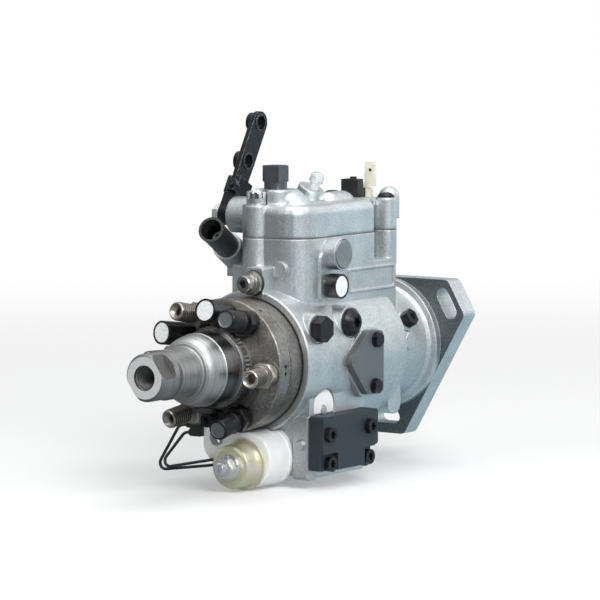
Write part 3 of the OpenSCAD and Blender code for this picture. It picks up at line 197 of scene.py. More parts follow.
class Graph:
    """The node graph of one material, with one Principled shader."""

    def __init__(self, name: str) -> None:
        """Starts an empty material.

        Args:
            name: The material's name.
        """
        self.material = bpy.data.materials.new(name)
        self.material.use_nodes = True
        self.tree = self.material.node_tree
        self.tree.nodes.clear()
        self.output = self.tree.nodes.new("ShaderNodeOutputMaterial")
        self.shader = self.tree.nodes.new("ShaderNodeBsdfPrincipled")
        self.surface(self.shader)
        self._place: bpy.types.NodeSocket | None = None

    def surface(self, shader: bpy.types.Node) -> None:
        """Links a shader to the material's output."""
        self.tree.links.new(shader.outputs[0], self.output.inputs["Surface"])

    def put(self, socket: bpy.types.NodeSocket, value: object) -> None:
        """Links or sets one input.

        Args:
            socket: The input socket.
            value: A Sock, an output socket, a number or a colour.
        """
        if isinstance(value, Sock):
            value = value.socket
        if isinstance(value, bpy.types.NodeSocket):
            self.tree.links.new(value, socket)
        elif isinstance(value, (tuple, list)) and len(socket.default_value) == 4:
            socket.default_value = (*value[:3], 1.0)
        else:
            socket.default_value = value

    def node(
        self, kind: str, settings: dict[str, object], inputs: dict[object, object]
    ) -> bpy.types.Node:
        """Adds a node of any type.

        Args:
            kind: The node's type.
            settings: Its properties, which are set first.
            inputs: Its sockets by name or number, each a value or a link.

        Returns:
            The new node.
        """
        made = self.tree.nodes.new(kind)
        for key, value in settings.items():
            if key == "stops":
                self._stops(made.color_ramp, value)
            else:
                setattr(made, key, value)
        for key, value in inputs.items():
            self.put(made.inputs[key], value)
        return made

    @staticmethod
    def _stops(ramp: bpy.types.ColorRamp, stops: Sequence[tuple]) -> None:
        """Fills a colour ramp.

        Args:
            ramp: The ramp of a Color Ramp node.
            stops: Pairs of a place from 0 to 1 and a colour.
        """
        while len(ramp.elements) > 1:
            ramp.elements.remove(ramp.elements[-1])
        for number, (place, colour) in enumerate(stops):
            stop = ramp.elements[0] if number == 0 else ramp.elements.new(place)
            stop.position = place
            stop.color = (*colour, 1.0)

    def place(self) -> bpy.types.NodeSocket:
        """Object coordinates in millimetres, from one shared node.

        Returns:
            The vector socket.
        """
        if self._place is None:
            coords = self.tree.nodes.new("ShaderNodeTexCoord")
            scaled = self.node(
                "ShaderNodeVectorMath",
                {"operation": "MULTIPLY"},
                {0: coords.outputs["Object"], 1: (1 / MM, 1 / MM, 1 / MM)},
            )
            self._place = scaled.outputs[0]
        return self._place

    def axes(self) -> tuple[Sock, Sock, Sock]:
        """The three object coordinates in millimetres, as numbers."""
        split = self.node("ShaderNodeSeparateXYZ", {}, {0: self.place()})
        return tuple(Sock(self, out) for out in split.outputs)

    def vector(self, x: object, y: object, z: object) -> bpy.types.NodeSocket:
        """Joins three numbers into a vector."""
        return self.node("ShaderNodeCombineXYZ", {}, {0: x, 1: y, 2: z}).outputs[0]

    def noise(
        self, per_mm: float, detail: float = 3.0, at: object = None, rough: float = 0.55
    ) -> Sock:
        """Soft cloudy noise.

        Args:
            per_mm: How many blotches fit in a millimetre.
            detail: Number of finer octaves.
            at: The vector it reads, object coordinates if left out.
            rough: How strong the finer octaves are.

        Returns:
            A value about 0.5.
        """
        node = self.node(
            "ShaderNodeTexNoise",
            {},
            {
                "Vector": at or self.place(),
                "Scale": per_mm,
                "Detail": detail,
                "Roughness": rough,
            },
        )
        return Sock(self, node.outputs[0])

    def mix(self, factor: object, first: object, second: object) -> bpy.types.NodeSocket:
        """Blends two colours.

        Args:
            factor: 0 gives the first, 1 the second.
            first: A colour or a colour socket.
            second: A colour or a colour socket.

        Returns:
            The blended colour.
        """
        node = self.node("ShaderNodeMix", {"data_type": "RGBA"}, {0: factor})
        self.put(node.inputs[6], first)
        self.put(node.inputs[7], second)
        return node.outputs[2]

    def rounded(self, radius_mm: float) -> bpy.types.NodeSocket | None:
        """Normal that rounds sharp edges over a small radius.

        Args:
            radius_mm: The radius in millimetres, 0 for edges left as they are.

        Returns:
            The rounded normal, or None.
        """
        if radius_mm <= 0:
            return None
        return self.node(
            "ShaderNodeBevel", {"samples": BEVEL_SAMPLES}, {"Radius": radius_mm * MM}
        ).outputs[0]

    def edges(self, radius_mm: float) -> Sock:
        """Mask of the sharp edges, from how far a rounded normal leans away.

        Args:
            radius_mm: How far from an edge the mask reaches.

        Returns:
            1 along the edges, else 0.
        """
        flat = self.node("ShaderNodeNewGeometry", {}, {}).outputs["Normal"]
        lean = self.node(
            "ShaderNodeVectorMath", {"operation": "DOT_PRODUCT"},
            {0: self.rounded(radius_mm), 1: flat},
        )
        return (1.0 - Sock(self, lean.outputs["Value"])).ramp(*EDGE_WEAR_HIGHLIGHT_LEAN)

    def facing(self) -> tuple[Sock, Sock, Sock]:
        """Splits the surface's own normal, in object space.

        Returns:
            Its three parts.
        """
        coords = self.tree.nodes.new("ShaderNodeTexCoord")
        split = self.node("ShaderNodeSeparateXYZ", {}, {0: coords.outputs["Normal"]})
        return tuple(Sock(self, out) for out in split.outputs)

    def bump(
        self, height: object, depth_mm: float, normal: object = None
    ) -> bpy.types.NodeSocket:
        """Small relief.

        Args:
            height: Relief from 0 to 1.
            depth_mm: How deep a height of 1 is.
            normal: The normal underneath, if any.

        Returns:
            The new normal.
        """
        inputs = {"Height": height, "Distance": depth_mm * MM, "Strength": 1.0}
        if normal is not None:
            inputs["Normal"] = normal
        return self.node("ShaderNodeBump", {}, inputs).outputs[0]

    def dress(self, **inputs: object) -> bpy.types.Material:
        """Feeds the Principled shader.

        Args:
            **inputs: Its sockets, with an underscore for each space.

        Returns:
            The finished material.
        """
        for key, value in inputs.items():
            self.put(self.shader.inputs[key.replace("_", " ")], value)
        return self.material


class Lay(Enum):
    """Direction of the tool marks on a machined surface."""

    NONE = "none"
    TURNED = "turned"
    BRUSHED = "brushed"


@dataclass(frozen=True)
class CastMetal:
    """Sand-cast and shot-blasted light alloy with soft edges."""

    name: str
    colour: Colour
    shade: Colour
    roughness: float = 0.5
    grain_mm: float = 0.10
    edge_mm: float = 1.3
    flange_y: float = -16.0
    # Strength and colours of the painted shade on the flange's front face.
    flange_shade: float = 0.0
    pit: Colour = (0.14, 0.15, 0.155)
    flange_shade_low: Colour = (0.085, 0.098, 0.105)
    flange_shade_high: Colour = (0.18, 0.20, 0.21)

    def build(self) -> bpy.types.Material:
        """Fine blasted grain over slow swells, darker in its pits, with painted shade on the
        flange's front face.

        Returns:
            The material.
        """
        g = Graph(self.name)
        grain = g.noise(per_mm=0.85, detail=4.0, rough=0.7)
        fine = g.noise(per_mm=3.2, detail=2.0)
        swell = g.noise(per_mm=0.07, detail=2.0)
        blotch = g.noise(per_mm=0.028)
        pits = g.noise(per_mm=1.3, detail=2.0).ramp(0.38, 0.28)
        speck = g.noise(per_mm=1.1, detail=1.0).ramp(0.36, 0.64)
        tone = (swell * 0.35 + blotch * 0.35 + grain * 0.35 + speck * 0.2).ramp(0.35, 0.90)
        colour = g.mix(tone, self.shade, self.colour)
        colour = g.mix(pits * 0.3, colour, self.pit)
        # Painted shade: flange faces that point straight ahead get a darker colour.
        if self.flange_shade:
            _, y, _ = g.axes()
            _, ahead, _ = g.facing()
            face = (y > self.flange_y) * (ahead < -0.9)
            shade_tone = g.mix(grain.ramp(0.35, 0.65), self.flange_shade_low, self.flange_shade_high)
            colour = g.mix(face * self.flange_shade, colour, shade_tone)
        relief = grain * 0.8 + fine * 0.25 + swell * 1.2
        normal = g.bump(relief, self.grain_mm, g.rounded(self.edge_mm))
        return g.dress(
            Base_Color=colour,
            Metallic=1.0,
            Roughness=self.roughness + (fine - 0.5) * 0.22,
            Normal=normal,
        )


@dataclass(frozen=True)
class ToolSteel:
    """Machined steel, plain or oiled, with turned or brushed marks."""

    name: str
    colour: Colour
    stain: Colour
    roughness: float = 0.32
    lay: Lay = Lay.TURNED
    marks_mm: float = 0.012
    per_mm: float = 2.4
    mottle: float = 0.4
    edge_mm: float = 0.35
    grit: float = 0.0
    glint: Colour = (0.62, 0.60, 0.56)

    def build(self) -> bpy.types.Material:
        """Rings or strokes in the relief, stains in the colour, and painted glints among the
        grit.

        Returns:
            The material.
        """
        g = Graph(self.name)
        x, y, z = g.axes()
        radius = (x * x + z * z).root()
        if self.lay is Lay.TURNED:
            path = g.vector(radius * self.per_mm, y * self.per_mm, x * 0.01)
        elif self.lay is Lay.BRUSHED:
            path = g.vector(x * self.per_mm, y * self.per_mm, z * 0.06)
        else:
            path = g.place()
        marks = g.noise(per_mm=1.0, at=path, rough=0.75)
        clouds = g.noise(per_mm=0.09, detail=4.0)
        specks = g.noise(per_mm=1.1, detail=2.0).ramp(0.36, 0.27)
        dirt = clouds.ramp(0.62, 0.3) * self.mottle + specks * self.mottle * 0.6
        colour = g.mix(dirt, self.colour, self.stain)
        if self.grit:
            fleck = g.noise(per_mm=0.75, rough=0.8)
            colour = g.mix(fleck.ramp(0.52, 0.34) * self.grit, colour, self.stain)
            # Painted glints: the brighter flecks take the glint colour.
            colour = g.mix(fleck.ramp(0.52, 0.72) * self.grit * 0.5, colour, self.glint)
        normal = g.bump(marks, self.marks_mm, g.rounded(self.edge_mm))
        return g.dress(
            Base_Color=colour,
            Metallic=1.0,
            Roughness=self.roughness + (marks - 0.5) * 0.18 + dirt * 0.16,
            Normal=normal,
        )


@dataclass(frozen=True)
class NoseSteel:
    """The inlet nose: satin collar and dome, then a ground cylinder; the shank, the ground
    cylinder, one flat and the bore carry painted shade, the front face a painted highlight.
    """

    name: str = "nose_steel"
    dome_y: float = -223.8
    rear_y: float = -209.0
    front_y: float = -239.8
    mouth_y: float = -276.2
    flat_y: float = -264.9
    flat_turn: float = 35.0
    satin: tuple[Colour, Colour] = ((0.34, 0.345, 0.34), (0.56, 0.565, 0.56))
    # Painted shade: darker tones of the same steel for the shank and the ground cylinder.
    shade_tone: tuple[Colour, Colour] = ((0.22, 0.22, 0.215), (0.43, 0.43, 0.42))
    dark: tuple[Colour, Colour] = ((0.13, 0.13, 0.128), (0.26, 0.258, 0.252))
    flat_shade_colour: Colour = (0.10, 0.098, 0.09)
    front_highlight_colour: Colour = (0.62, 0.63, 0.63)
    bore_shade_colour: Colour = (0.10, 0.095, 0.09)
    bore_r: tuple[float, float] = (7.6, 6.6)

    def build(self) -> bpy.types.Material:
        """Turned marks all over, with a painted tone for each stage of the profile: the shank and
        the ground cylinder darker, as painted shade.

        Returns:
            The material.
        """
        g = Graph(self.name)
        x, y, z = g.axes()
        radius = (x * x + z * z).root()
        path = g.vector(radius * 2.6, y * 2.6, x * 0.008)
        marks = g.noise(per_mm=1.0, detail=4.0, at=path, rough=0.8)
        wide = g.noise(per_mm=0.30, at=path, rough=0.6)
        streaks = g.noise(per_mm=0.55)
        # Painted shade: the shank and the ground cylinder are darker copies of the satin steel.
        ground = (y > self.dome_y) * (y < self.rear_y)
        shank = y < self.front_y
        tone = (wide * 0.6 + marks * 0.3 + streaks * 0.1).ramp(0.3, 0.7)
        satin, shade_tone, dark = (g.mix(tone, *pair) for pair in (self.satin, self.shade_tone, self.dark))
        colour = g.mix(ground, g.mix(shank, satin, shade_tone), dark)
        across, ahead, up = g.facing()
        # Painted shade on the one flat that faces this way.
        turn = math.radians(self.flat_turn)
        flat = (y < self.flat_y) * ((across * math.cos(turn) + up * math.sin(turn)) > 0.992)
        colour = g.mix(flat * 0.8, colour, self.flat_shade_colour)
        # Painted highlight: the front face gets a light colour and, in the shader below, less
        # metal.
        front = (y < self.mouth_y) * (ahead < -0.8)
        colour = g.mix(front, colour, self.front_highlight_colour)
        # Painted shade inside the bore.
        colour = g.mix(radius.ramp(*self.bore_r), colour, self.bore_shade_colour)
        normal = g.bump(marks, 0.009, g.rounded(0.25))
        return g.dress(
            Base_Color=colour,
            Metallic=1.0 - front * 0.65,
            Roughness=0.46 + (marks - 0.5) * 0.12 - ground * 0.08,
            Normal=normal,
        )


@dataclass(frozen=True)
class Coating:
    """Thin dark or bright plating over steel; its edges are made lighter, both as wear and as a
    painted edge highlight.
    """

    name: str
    colour: Colour
    edge_wear_highlight_colour: Colour
    roughness: float = 0.38
    metallic: float = 0.75
    grain_mm: float = 0.01
    edge_mm: float = 0.35
    edge_wear_highlight: float = 0.5
    cloud: float = 0.3
    edge_wear_highlight_mm: float = 0.25

    def build(self) -> bpy.types.Material:
        """Cloudy coat whose convex edges turn lighter, as wear and as painted highlight.

        Returns:
            The material.
        """
        g = Graph(self.name)
        clouds = g.noise(per_mm=0.16)
        grain = g.noise(per_mm=2.6)
        # Edge mask: wear, and a painted highlight along the edges.
        edge_wear_highlight_mask = g.edges(self.edge_wear_highlight_mm) * clouds.ramp(0.25, 0.55) * self.edge_wear_highlight
        lighter = tuple(min(1.0, 1.4 * c + 0.008) for c in self.colour)
        colour = g.mix(clouds.ramp(0.3, 0.75) * self.cloud, self.colour, lighter)
        colour = g.mix(edge_wear_highlight_mask, colour, self.edge_wear_highlight_colour)
        normal = g.bump(grain, self.grain_mm, g.rounded(self.edge_mm))
        return g.dress(
            Base_Color=colour,
            Metallic=self.metallic,
            Roughness=self.roughness + (grain - 0.5) * 0.2 + clouds * 0.06,
            Normal=normal,
        )


@dataclass(frozen=True)
class GoldZinc:
    """Yellow passivated zinc with its green and rose bloom."""

    name: str = "gold_zinc"
    stops: tuple[tuple[float, Colour], ...] = (
        (0.30, (0.66, 0.73, 0.57)), (0.45, (0.82, 0.78, 0.52)),
        (0.58, (0.78, 0.75, 0.60)), (0.72, (0.80, 0.72, 0.66)),
    )

    def build(self) -> bpy.types.Material:
        """Bloom that drifts between straw, green and silver.

        Returns:
            The material.
        """
        g = Graph(self.name)
        bloom = g.noise(per_mm=0.075, detail=2.0)
        ramp = g.node("ShaderNodeValToRGB", {"stops": self.stops}, {"Fac": bloom})
        grain = g.noise(per_mm=2.2, detail=2.0)
        return g.dress(
            Base_Color=ramp.outputs[0],
            Metallic=0.72,
            Roughness=0.24 + grain * 0.12,
            Normal=g.bump(grain, 0.006, g.rounded(0.5)),
        )


@dataclass(frozen=True)
class Moulding:
    """Injection moulded plastic or rubber."""

    name: str
    colour: Colour
    roughness: float = 0.42
    grain_mm: float = 0.008
    edge_mm: float = 0.3
    scatter_mm: float = 0.0
    clear: float = 0.0
    variation: float = 0.12

    def build(self) -> bpy.types.Material:
        """Fine leathery skin with a slow change of tone.

        Returns:
            The material.
        """
        g = Graph(self.name)
        cloud = g.noise(per_mm=0.12)
        skin = g.noise(per_mm=3.0)
        dim = tuple(c * (1 - 2 * self.variation) for c in self.colour)
        return g.dress(
            Base_Color=g.mix(cloud.ramp(0.25, 0.7), dim, self.colour),
            Roughness=self.roughness + (skin - 0.5) * 0.16,
            Normal=g.bump(skin, self.grain_mm, g.rounded(self.edge_mm)),
            Transmission_Weight=self.clear,
            Subsurface_Weight=0.35 if self.scatter_mm else 0.0,
            Subsurface_Scale=max(self.scatter_mm, 0.1) * MM,
        )


@dataclass(frozen=True)
class Foil:
    """Thin bright foil disc, slightly crumpled."""

    name: str = "seal_foil"
    low: Colour = (0.84, 0.88, 0.89)
    high: Colour = (0.97, 0.985, 0.985)

    def build(self) -> bpy.types.Material:
        """Creases in the relief and a faint sheen.

        Returns:
            The material.
        """
        g = Graph(self.name)
        crease = g.noise(per_mm=0.55, detail=2.0)
        return g.dress(
            Base_Color=g.mix(crease.ramp(0.35, 0.65), self.low, self.high),
            Metallic=0.25,
            Roughness=0.34,
            Normal=g.bump(crease, 0.35),
        )


class Ink:
    """Colours of the pump's own finishes, written as linear values."""

    ALLOY = (0.680, 0.708, 0.715)
    ALLOY_SHADE = (0.440, 0.465, 0.472)
    STEEL = (0.285, 0.277, 0.262)
    STAIN = (0.150, 0.132, 0.112)
    WHITE = (0.86, 0.875, 0.87)


def palette() -> dict[str, bpy.types.Material]:
    """Builds each finish once.

    Returns:
        The materials by name.
    """
    finishes = (
        CastMetal("cast_alloy", Ink.ALLOY, Ink.ALLOY_SHADE, flange_shade=0.92),
        CastMetal("cover_alloy", (0.72, 0.765, 0.775), (0.47, 0.50, 0.508), roughness=0.46,
                  grain_mm=0.08, edge_mm=2.6),
        ToolSteel("head_steel", Ink.STEEL, Ink.STAIN, roughness=0.42, lay=Lay.NONE,
                  marks_mm=0.05, per_mm=1.0, mottle=0.75, edge_mm=0.3, grit=0.85),
        NoseSteel(),
        ToolSteel("ring_steel", (0.36, 0.35, 0.335), Ink.STAIN, roughness=0.36, lay=Lay.NONE,
                  marks_mm=0.01, per_mm=1.0, mottle=0.5, edge_mm=0.1),
        ToolSteel("inner_steel", (0.45, 0.44, 0.43), Ink.STAIN, roughness=0.34),
        ToolSteel("ground_steel", (0.62, 0.62, 0.615), (0.3, 0.29, 0.28), roughness=0.22,
                  marks_mm=0.006),
        ToolSteel("disc_steel", (0.33, 0.34, 0.342), (0.18, 0.185, 0.187), roughness=0.40,
                  lay=Lay.BRUSHED, marks_mm=0.03, per_mm=2.2, mottle=0.35, edge_mm=0.3),
        ToolSteel("clip_steel", (0.20, 0.195, 0.19), (0.09, 0.085, 0.08), roughness=0.42,
                  lay=Lay.NONE, per_mm=1.2, mottle=0.5, edge_mm=0.2),
        Coating("plated_fitting", (0.42, 0.385, 0.35), (0.60, 0.58, 0.56), roughness=0.32,
                metallic=1.0, grain_mm=0.012, edge_mm=0.0, edge_wear_highlight=0.3),
        # Painted shade for the roots of the threads.
        Coating("thread_root_shade", (0.060, 0.053, 0.048), (0.10, 0.09, 0.08), roughness=0.45,
                metallic=0.9, grain_mm=0.012, edge_mm=0.0, edge_wear_highlight=0.0),
        Coating("socket_plating", (0.34, 0.33, 0.315), (0.60, 0.59, 0.57), roughness=0.30,
                metallic=1.0, edge_mm=0.15, edge_wear_highlight=0.4),
        Coating("chrome", (0.70, 0.715, 0.725), (0.80, 0.80, 0.80), roughness=0.05,
                metallic=1.0, grain_mm=0.001, edge_mm=0.1, edge_wear_highlight=0.0, cloud=0.1),
        Coating("bright_zinc", (0.70, 0.705, 0.71), (0.85, 0.85, 0.85), roughness=0.13,
                metallic=1.0, grain_mm=0.004, edge_mm=0.15),
        Coating("stud_zinc", (0.74, 0.75, 0.755), (0.85, 0.85, 0.85), roughness=0.18,
                metallic=0.8, grain_mm=0.008, edge_mm=0.0, edge_wear_highlight=0.3),
        Coating("black_zinc", (0.020, 0.021, 0.024), (0.16, 0.165, 0.17), roughness=0.30,
                metallic=0.7, edge_mm=0.12, edge_wear_highlight=0.35, cloud=0.2),
        Coating("black_oxide", (0.15, 0.158, 0.163), (0.30, 0.31, 0.32), roughness=0.34,
                metallic=1.0, edge_mm=0.1, edge_wear_highlight_mm=0.2),
        Coating("black_fitting", (0.026, 0.026, 0.028), (0.17, 0.165, 0.16), roughness=0.34,
                metallic=0.8, edge_mm=0.08, edge_wear_highlight=0.3, cloud=0.2),
        Coating("cap_face", (0.18, 0.20, 0.21), (0.25, 0.24, 0.23), roughness=0.42,
                metallic=0.8, grain_mm=0.012, edge_mm=0.1, edge_wear_highlight=0.3, cloud=0.1),
        Coating("lever_black", (0.016, 0.019, 0.022), (0.50, 0.52, 0.53), roughness=0.26,
                metallic=0.6, grain_mm=0.008, edge_mm=0.15, edge_wear_highlight=0.9, cloud=0.1, edge_wear_highlight_mm=0.35),
        Coating("cover_black", (0.030, 0.041, 0.050), (0.13, 0.145, 0.155), roughness=0.50,
                metallic=0.4, grain_mm=0.05, edge_mm=0.3, edge_wear_highlight=0.4, cloud=0.12, edge_wear_highlight_mm=0.4),
        Coating("window_grey", (0.135, 0.155, 0.165), (0.25, 0.26, 0.27), roughness=0.50,
                metallic=0.55, grain_mm=0.05, edge_mm=0.3, edge_wear_highlight=0.4, cloud=0.15, edge_wear_highlight_mm=0.4),
        GoldZinc(),
        Moulding("black_plastic", (0.020, 0.021, 0.023), roughness=0.36),
        Moulding("sleeve_black", (0.012, 0.012, 0.013), roughness=0.22, grain_mm=0.003,
                 edge_mm=0.2),
        Moulding("black_rubber", (0.018, 0.018, 0.019), roughness=0.6, grain_mm=0.015),
        Moulding("gasket_dark", (0.10, 0.10, 0.10), roughness=0.7, grain_mm=0.01, edge_mm=0.1),
        Moulding("white_nylon", Ink.WHITE, roughness=0.38, grain_mm=0.010, edge_mm=0.6,
                 scatter_mm=1.2, variation=0.04),
        Moulding("tag_white", (0.93, 0.935, 0.93), roughness=0.45, grain_mm=0.01,
                 scatter_mm=0.4, variation=0.02),
        Moulding("cream_nylon", (0.93, 0.90, 0.74), roughness=0.38, grain_mm=0.01, edge_mm=0.2,
                 scatter_mm=0.5, variation=0.05),
        Moulding("clear_cap", (0.88, 0.91, 0.93), roughness=0.16, grain_mm=0.004, edge_mm=0.15,
                 clear=0.6, variation=0.03),
        Moulding("wire_black", (0.020, 0.022, 0.026), roughness=0.40, grain_mm=0.004,
                 edge_mm=0.1),
        Foil(),
        ToolSteel("bearing_bronze", (0.60, 0.45, 0.24), (0.3, 0.2, 0.1), roughness=0.35),
    )
    made = {finish.name: finish.build() for finish in finishes}
    LOG.info("finishes: %d", len(made))
    return made


NODE_FINISH = {
    "cast_alloy": ("housing",),
    "cover_alloy": ("governor_cover",),
    "gasket_dark": ("gaskets",),
    "black_rubber": ("seal_rings", "shaft_seal"),
    "bright_zinc": ("cover_screws",),
    "stud_zinc": ("actuator_nut", "lever_nut", "throttle_shaft", "governor_spring",
                  "advance_spring"),
    "head_steel": ("hydraulic_head",),
    "nose_steel": ("end_cap",),
    "ring_steel": ("lock_ring",),
    "inner_steel": ("cam_ring", "transfer_liner", "shaft_key", "shaft_nut", "weight_retainer",
                    "weight_a", "weight_b", "weight_c", "weight_d", "thrust_sleeve",
                    "advance_piston"),
    "ground_steel": ("rotor", "plungers", "transfer_blades", "drive_shaft", "metering_valve",
                     "arm_pivot"),
    "bearing_bronze": ("shaft_bearing",),
    "disc_steel": ("side_plug",),
    "clip_steel": ("lock_clip", "governor_arm", "linkage_hook"),
    "plated_fitting": ("fittings_plain",),
    "socket_plating": ("socket_plug",),
    "black_fitting": ("fittings_dark",),
    "cap_face": ("fitting_caps",),
    "sleeve_black": ("sleeve_caps",),
    "seal_foil": ("seal_discs",),
    "black_zinc": ("head_screw", "side_bolts", "timing_screws", "advance_screws"),
    "black_oxide": ("return_connector",),
    "lever_black": ("throttle_lever", "lever_bushes", "lever_clamp"),
    "cover_black": ("advance_cover",),
    "window_grey": ("timing_cover",),
    "black_plastic": ("return_tube", "terminal_block"),
    "clear_cap": ("vent_cap",),
    "white_nylon": ("actuator_body",),
    "tag_white": ("nylon_tag",),
    "cream_nylon": ("spade_terminal",),
    "gold_zinc": ("actuator_cup",),
    "wire_black": ("lead_wires",),
}


def deselect() -> None:
    """Leaves nothing selected, so that an operator acts on the new piece alone."""
    if bpy.context.object and bpy.context.object.mode != "OBJECT":
        bpy.ops.object.mode_set(mode="OBJECT")
    bpy.ops.object.select_all(action="DESELECT")


def only(obj: bpy.types.Object) -> None:
    """Selects one object and makes it active.

    Args:
        obj: The object.
    """
    deselect()
    obj.select_set(True)
    bpy.context.view_layer.objects.active = obj


def settled(name: str) -> bpy.types.Object:
    """Names the active piece and applies its place, turn and size.

    Args:
        name: The object's name.

    Returns:
        The piece, with its mesh in world space.
    """
    made = bpy.context.object
    made.name = name
    bpy.ops.object.transform_apply(location=True, rotation=True, scale=True)
    return made


def block(name: str, low: Point, high: Point) -> bpy.types.Object:
    """A box between two corners.

    Args:
        name: The object's name.
        low: The corner with the least coordinates, in millimetres.
        high: The corner with the greatest.

    Returns:
        The solid.
    """
    low, high = Vector(low), Vector(high)
    deselect()
    bpy.ops.mesh.primitive_cube_add(size=1, location=(low + high) / 2 * MM)
    bpy.context.object.scale = (high - low) * MM
    return settled(name)


def strand(
    name: str, route: Sequence[Point], radius: float, section: int, smooth: bool = False
) -> bpy.types.Object:
    """Draws a round strand with closed ends along a route.

    Args:
        name: The object's name.
        route: Its points in millimetres.
        radius: Radius of the strand in millimetres.
        section: How finely its section is rounded.
        smooth: Whether the route is eased between its points.

    Returns:
        The curve.
    """
    deselect()
    curve = bpy.data.curves.new(name, "CURVE")
    curve.dimensions = "3D"
    curve.bevel_depth = radius * MM
    curve.bevel_resolution = section
    curve.use_fill_caps = True
    spline = curve.splines.new("NURBS" if smooth else "POLY")
    spline.points.add(len(route) - 1)
    for point, place in zip(spline.points, route):
        point.co = (*(c * MM for c in place), 1.0)
    spline.use_endpoint_u = smooth
    made = bpy.data.objects.new(name, curve)
    bpy.context.scene.collection.objects.link(made)
    return made


def turned(
    name: str, profile: Sequence[tuple[float, float]], sides: int = 48
) -> bpy.types.Object:
    """Turns a solid about Z, as on a lathe: a disc extruded and sized step by step.

    Args:
        name: The object's name.
        profile: Radius and height in millimetres, from the first face to the last.
        sides: Number of sides round the axis.

    Returns:
        The closed solid.
    """
    deselect()
    first_r, first_z = profile[0]
    bpy.ops.mesh.primitive_circle_add(
        vertices=sides, radius=first_r * MM, fill_type="NGON", location=(0, 0, first_z * MM)
    )
    bpy.ops.object.mode_set(mode="EDIT")
    bpy.ops.mesh.select_mode(type="FACE")
    bpy.ops.mesh.select_all(action="SELECT")
    radius, height = first_r, first_z
    for new_r, new_z in profile[1:]:
        bpy.ops.mesh.extrude_region_move(
            TRANSFORM_OT_translate={"value": (0, 0, (new_z - height) * MM)}
        )
        bpy.ops.transform.resize(value=(new_r / radius, new_r / radius, 1))
        radius, height = new_r, new_z
    bpy.ops.mesh.select_all(action="SELECT")
    bpy.ops.mesh.normals_make_consistent(inside=False)
    bpy.ops.object.mode_set(mode="OBJECT")
    return settled(name)


class Keep(Enum):
    """What a cutter leaves of a solid."""

    OUTSIDE = "DIFFERENCE"
    INSIDE = "INTERSECT"


def carve(
    target: bpy.types.Object, tool: bpy.types.Object, keep: Keep = Keep.OUTSIDE
) -> bpy.types.Object:
    """Cuts one solid by another and removes the tool.

    Args:
        target: The solid that stays.
        tool: The cutter.
        keep: Which part of the target stays.

    Returns:
        The target.
    """
    only(target)
    cut = target.modifiers.new("cut", "BOOLEAN")
    cut.operation = keep.value
    cut.solver = "EXACT"
    cut.object = tool
    bpy.ops.object.modifier_apply(modifier=cut.name)
    bpy.data.objects.remove(tool, do_unlink=True)
    return target


def soften(target: bpy.types.Object, width_mm: float, segments: int = 2) -> bpy.types.Object:
    """Bevels the sharp edges of a solid and shades it smooth by angle.

    Args:
        target: The solid.
        width_mm: Width of the bevel.
        segments: Steps of the bevel.

    Returns:
        The target.
    """
    only(target)
    edge = target.modifiers.new("edge", "BEVEL")
    edge.width = width_mm * MM
    edge.segments = segments
    edge.limit_method = "ANGLE"
    edge.angle_limit = EDGE_ANGLE
    edge.use_clamp_overlap = True
    bpy.ops.object.modifier_apply(modifier=edge.name)
    bpy.ops.object.shade_smooth_by_angle(angle=SMOOTH_ANGLE)
    return target


def hexagon(name: str, flats: float, low: float, high: float, chamfer: float) -> bpy.types.Object:
    """A hexagon along Z with its corners chamfered round, as on a nut.

    Args:
        name: The object's name.
        flats: Width over flats.
        low: Lower face.
        high: Upper face.
        chamfer: Height of the round chamfer at each end.

    Returns:
        The solid.
    """
    deselect()
    corner = flats / 2 / math.cos(HEX_HALF)
    bpy.ops.mesh.primitive_cylinder_add(
        vertices=6,
        radius=corner * MM,
        depth=(high - low) * MM,
        location=(0, 0, (high + low) / 2 * MM),
        rotation=(0, 0, HEX_HALF),
    )
    made = settled(name)
    end_r, clear_r = flats / 2 * 0.98, corner + 0.01
    barrel = turned(
        name + "_barrel",
        ((end_r, low), (clear_r, low + chamfer), (clear_r, high - chamfer), (end_r, high)),
        64,
    )
    return carve(made, barrel, Keep.INSIDE)


def thread(
    major: float, minor: float, start: float, end: float, pitch: float
) -> list[tuple[float, float]]:
    """Profile of a screw thread as radius and height.

    Args:
        major: Outer radius.
        minor: Root radius.
        start: Height of the first turn.
        end: Height of the last turn.
        pitch: Height of a turn.

    Returns:
        The points from start to end.
    """
    step = 1 if end > start else -1
    turns = int(abs(end - start) / pitch)
    points = []
    for number in range(turns):
        base = start + step * number * pitch
        points += [
            (minor, base + step * 0.10 * pitch),
            (major, base + step * 0.42 * pitch),
            (major, base + step * 0.58 * pitch),
            (minor, base + step * 0.90 * pitch),
        ]
    return points


def join(name: str, parts: Iterable[bpy.types.Object]) -> bpy.types.Object:
    """Joins parts into one object.

    Args:
        name: Name of the result.
        parts: The parts, of which the first takes in the rest.

    Returns:
        The joined object.
    """
    parts = list(parts)
    deselect()
    for part in parts:
        part.select_set(True)
    bpy.context.view_layer.objects.active = parts[0]
    if len(parts) > 1:
        bpy.ops.object.join()
    parts[0].name = name
    return parts[0]


def placed(part: bpy.types.Object, matrix: Matrix) -> bpy.types.Object:
    """Moves a part's mesh, so that its object stays at the origin."""
    part.data.transform(matrix)
    return part


def copies(part: bpy.types.Object, frames: Sequence[Matrix]) -> list[bpy.types.Object]:
    """Copies a part to each frame, each copy with its own mesh.

    Args:
        part: The part, modelled at the origin.
        frames: Where the copies go. The part itself takes the first.

    Returns:
        The copies.
    """
    made = [part]
    for _ in frames[1:]:
        twin = part.copy()
        twin.data = part.data.copy()
        bpy.context.scene.collection.objects.link(twin)
        made.append(twin)
    for twin, frame in zip(made, frames):
        placed(twin, frame)
    return made


def along_y(x: float, y: float, z: float) -> Matrix:
    """Frame whose Z looks along -Y, at a point in millimetres."""
    turn = Matrix.Rotation(math.radians(90), 4, "X")
    return Matrix.Translation(Vector((x, y, z)) * MM) @ turn


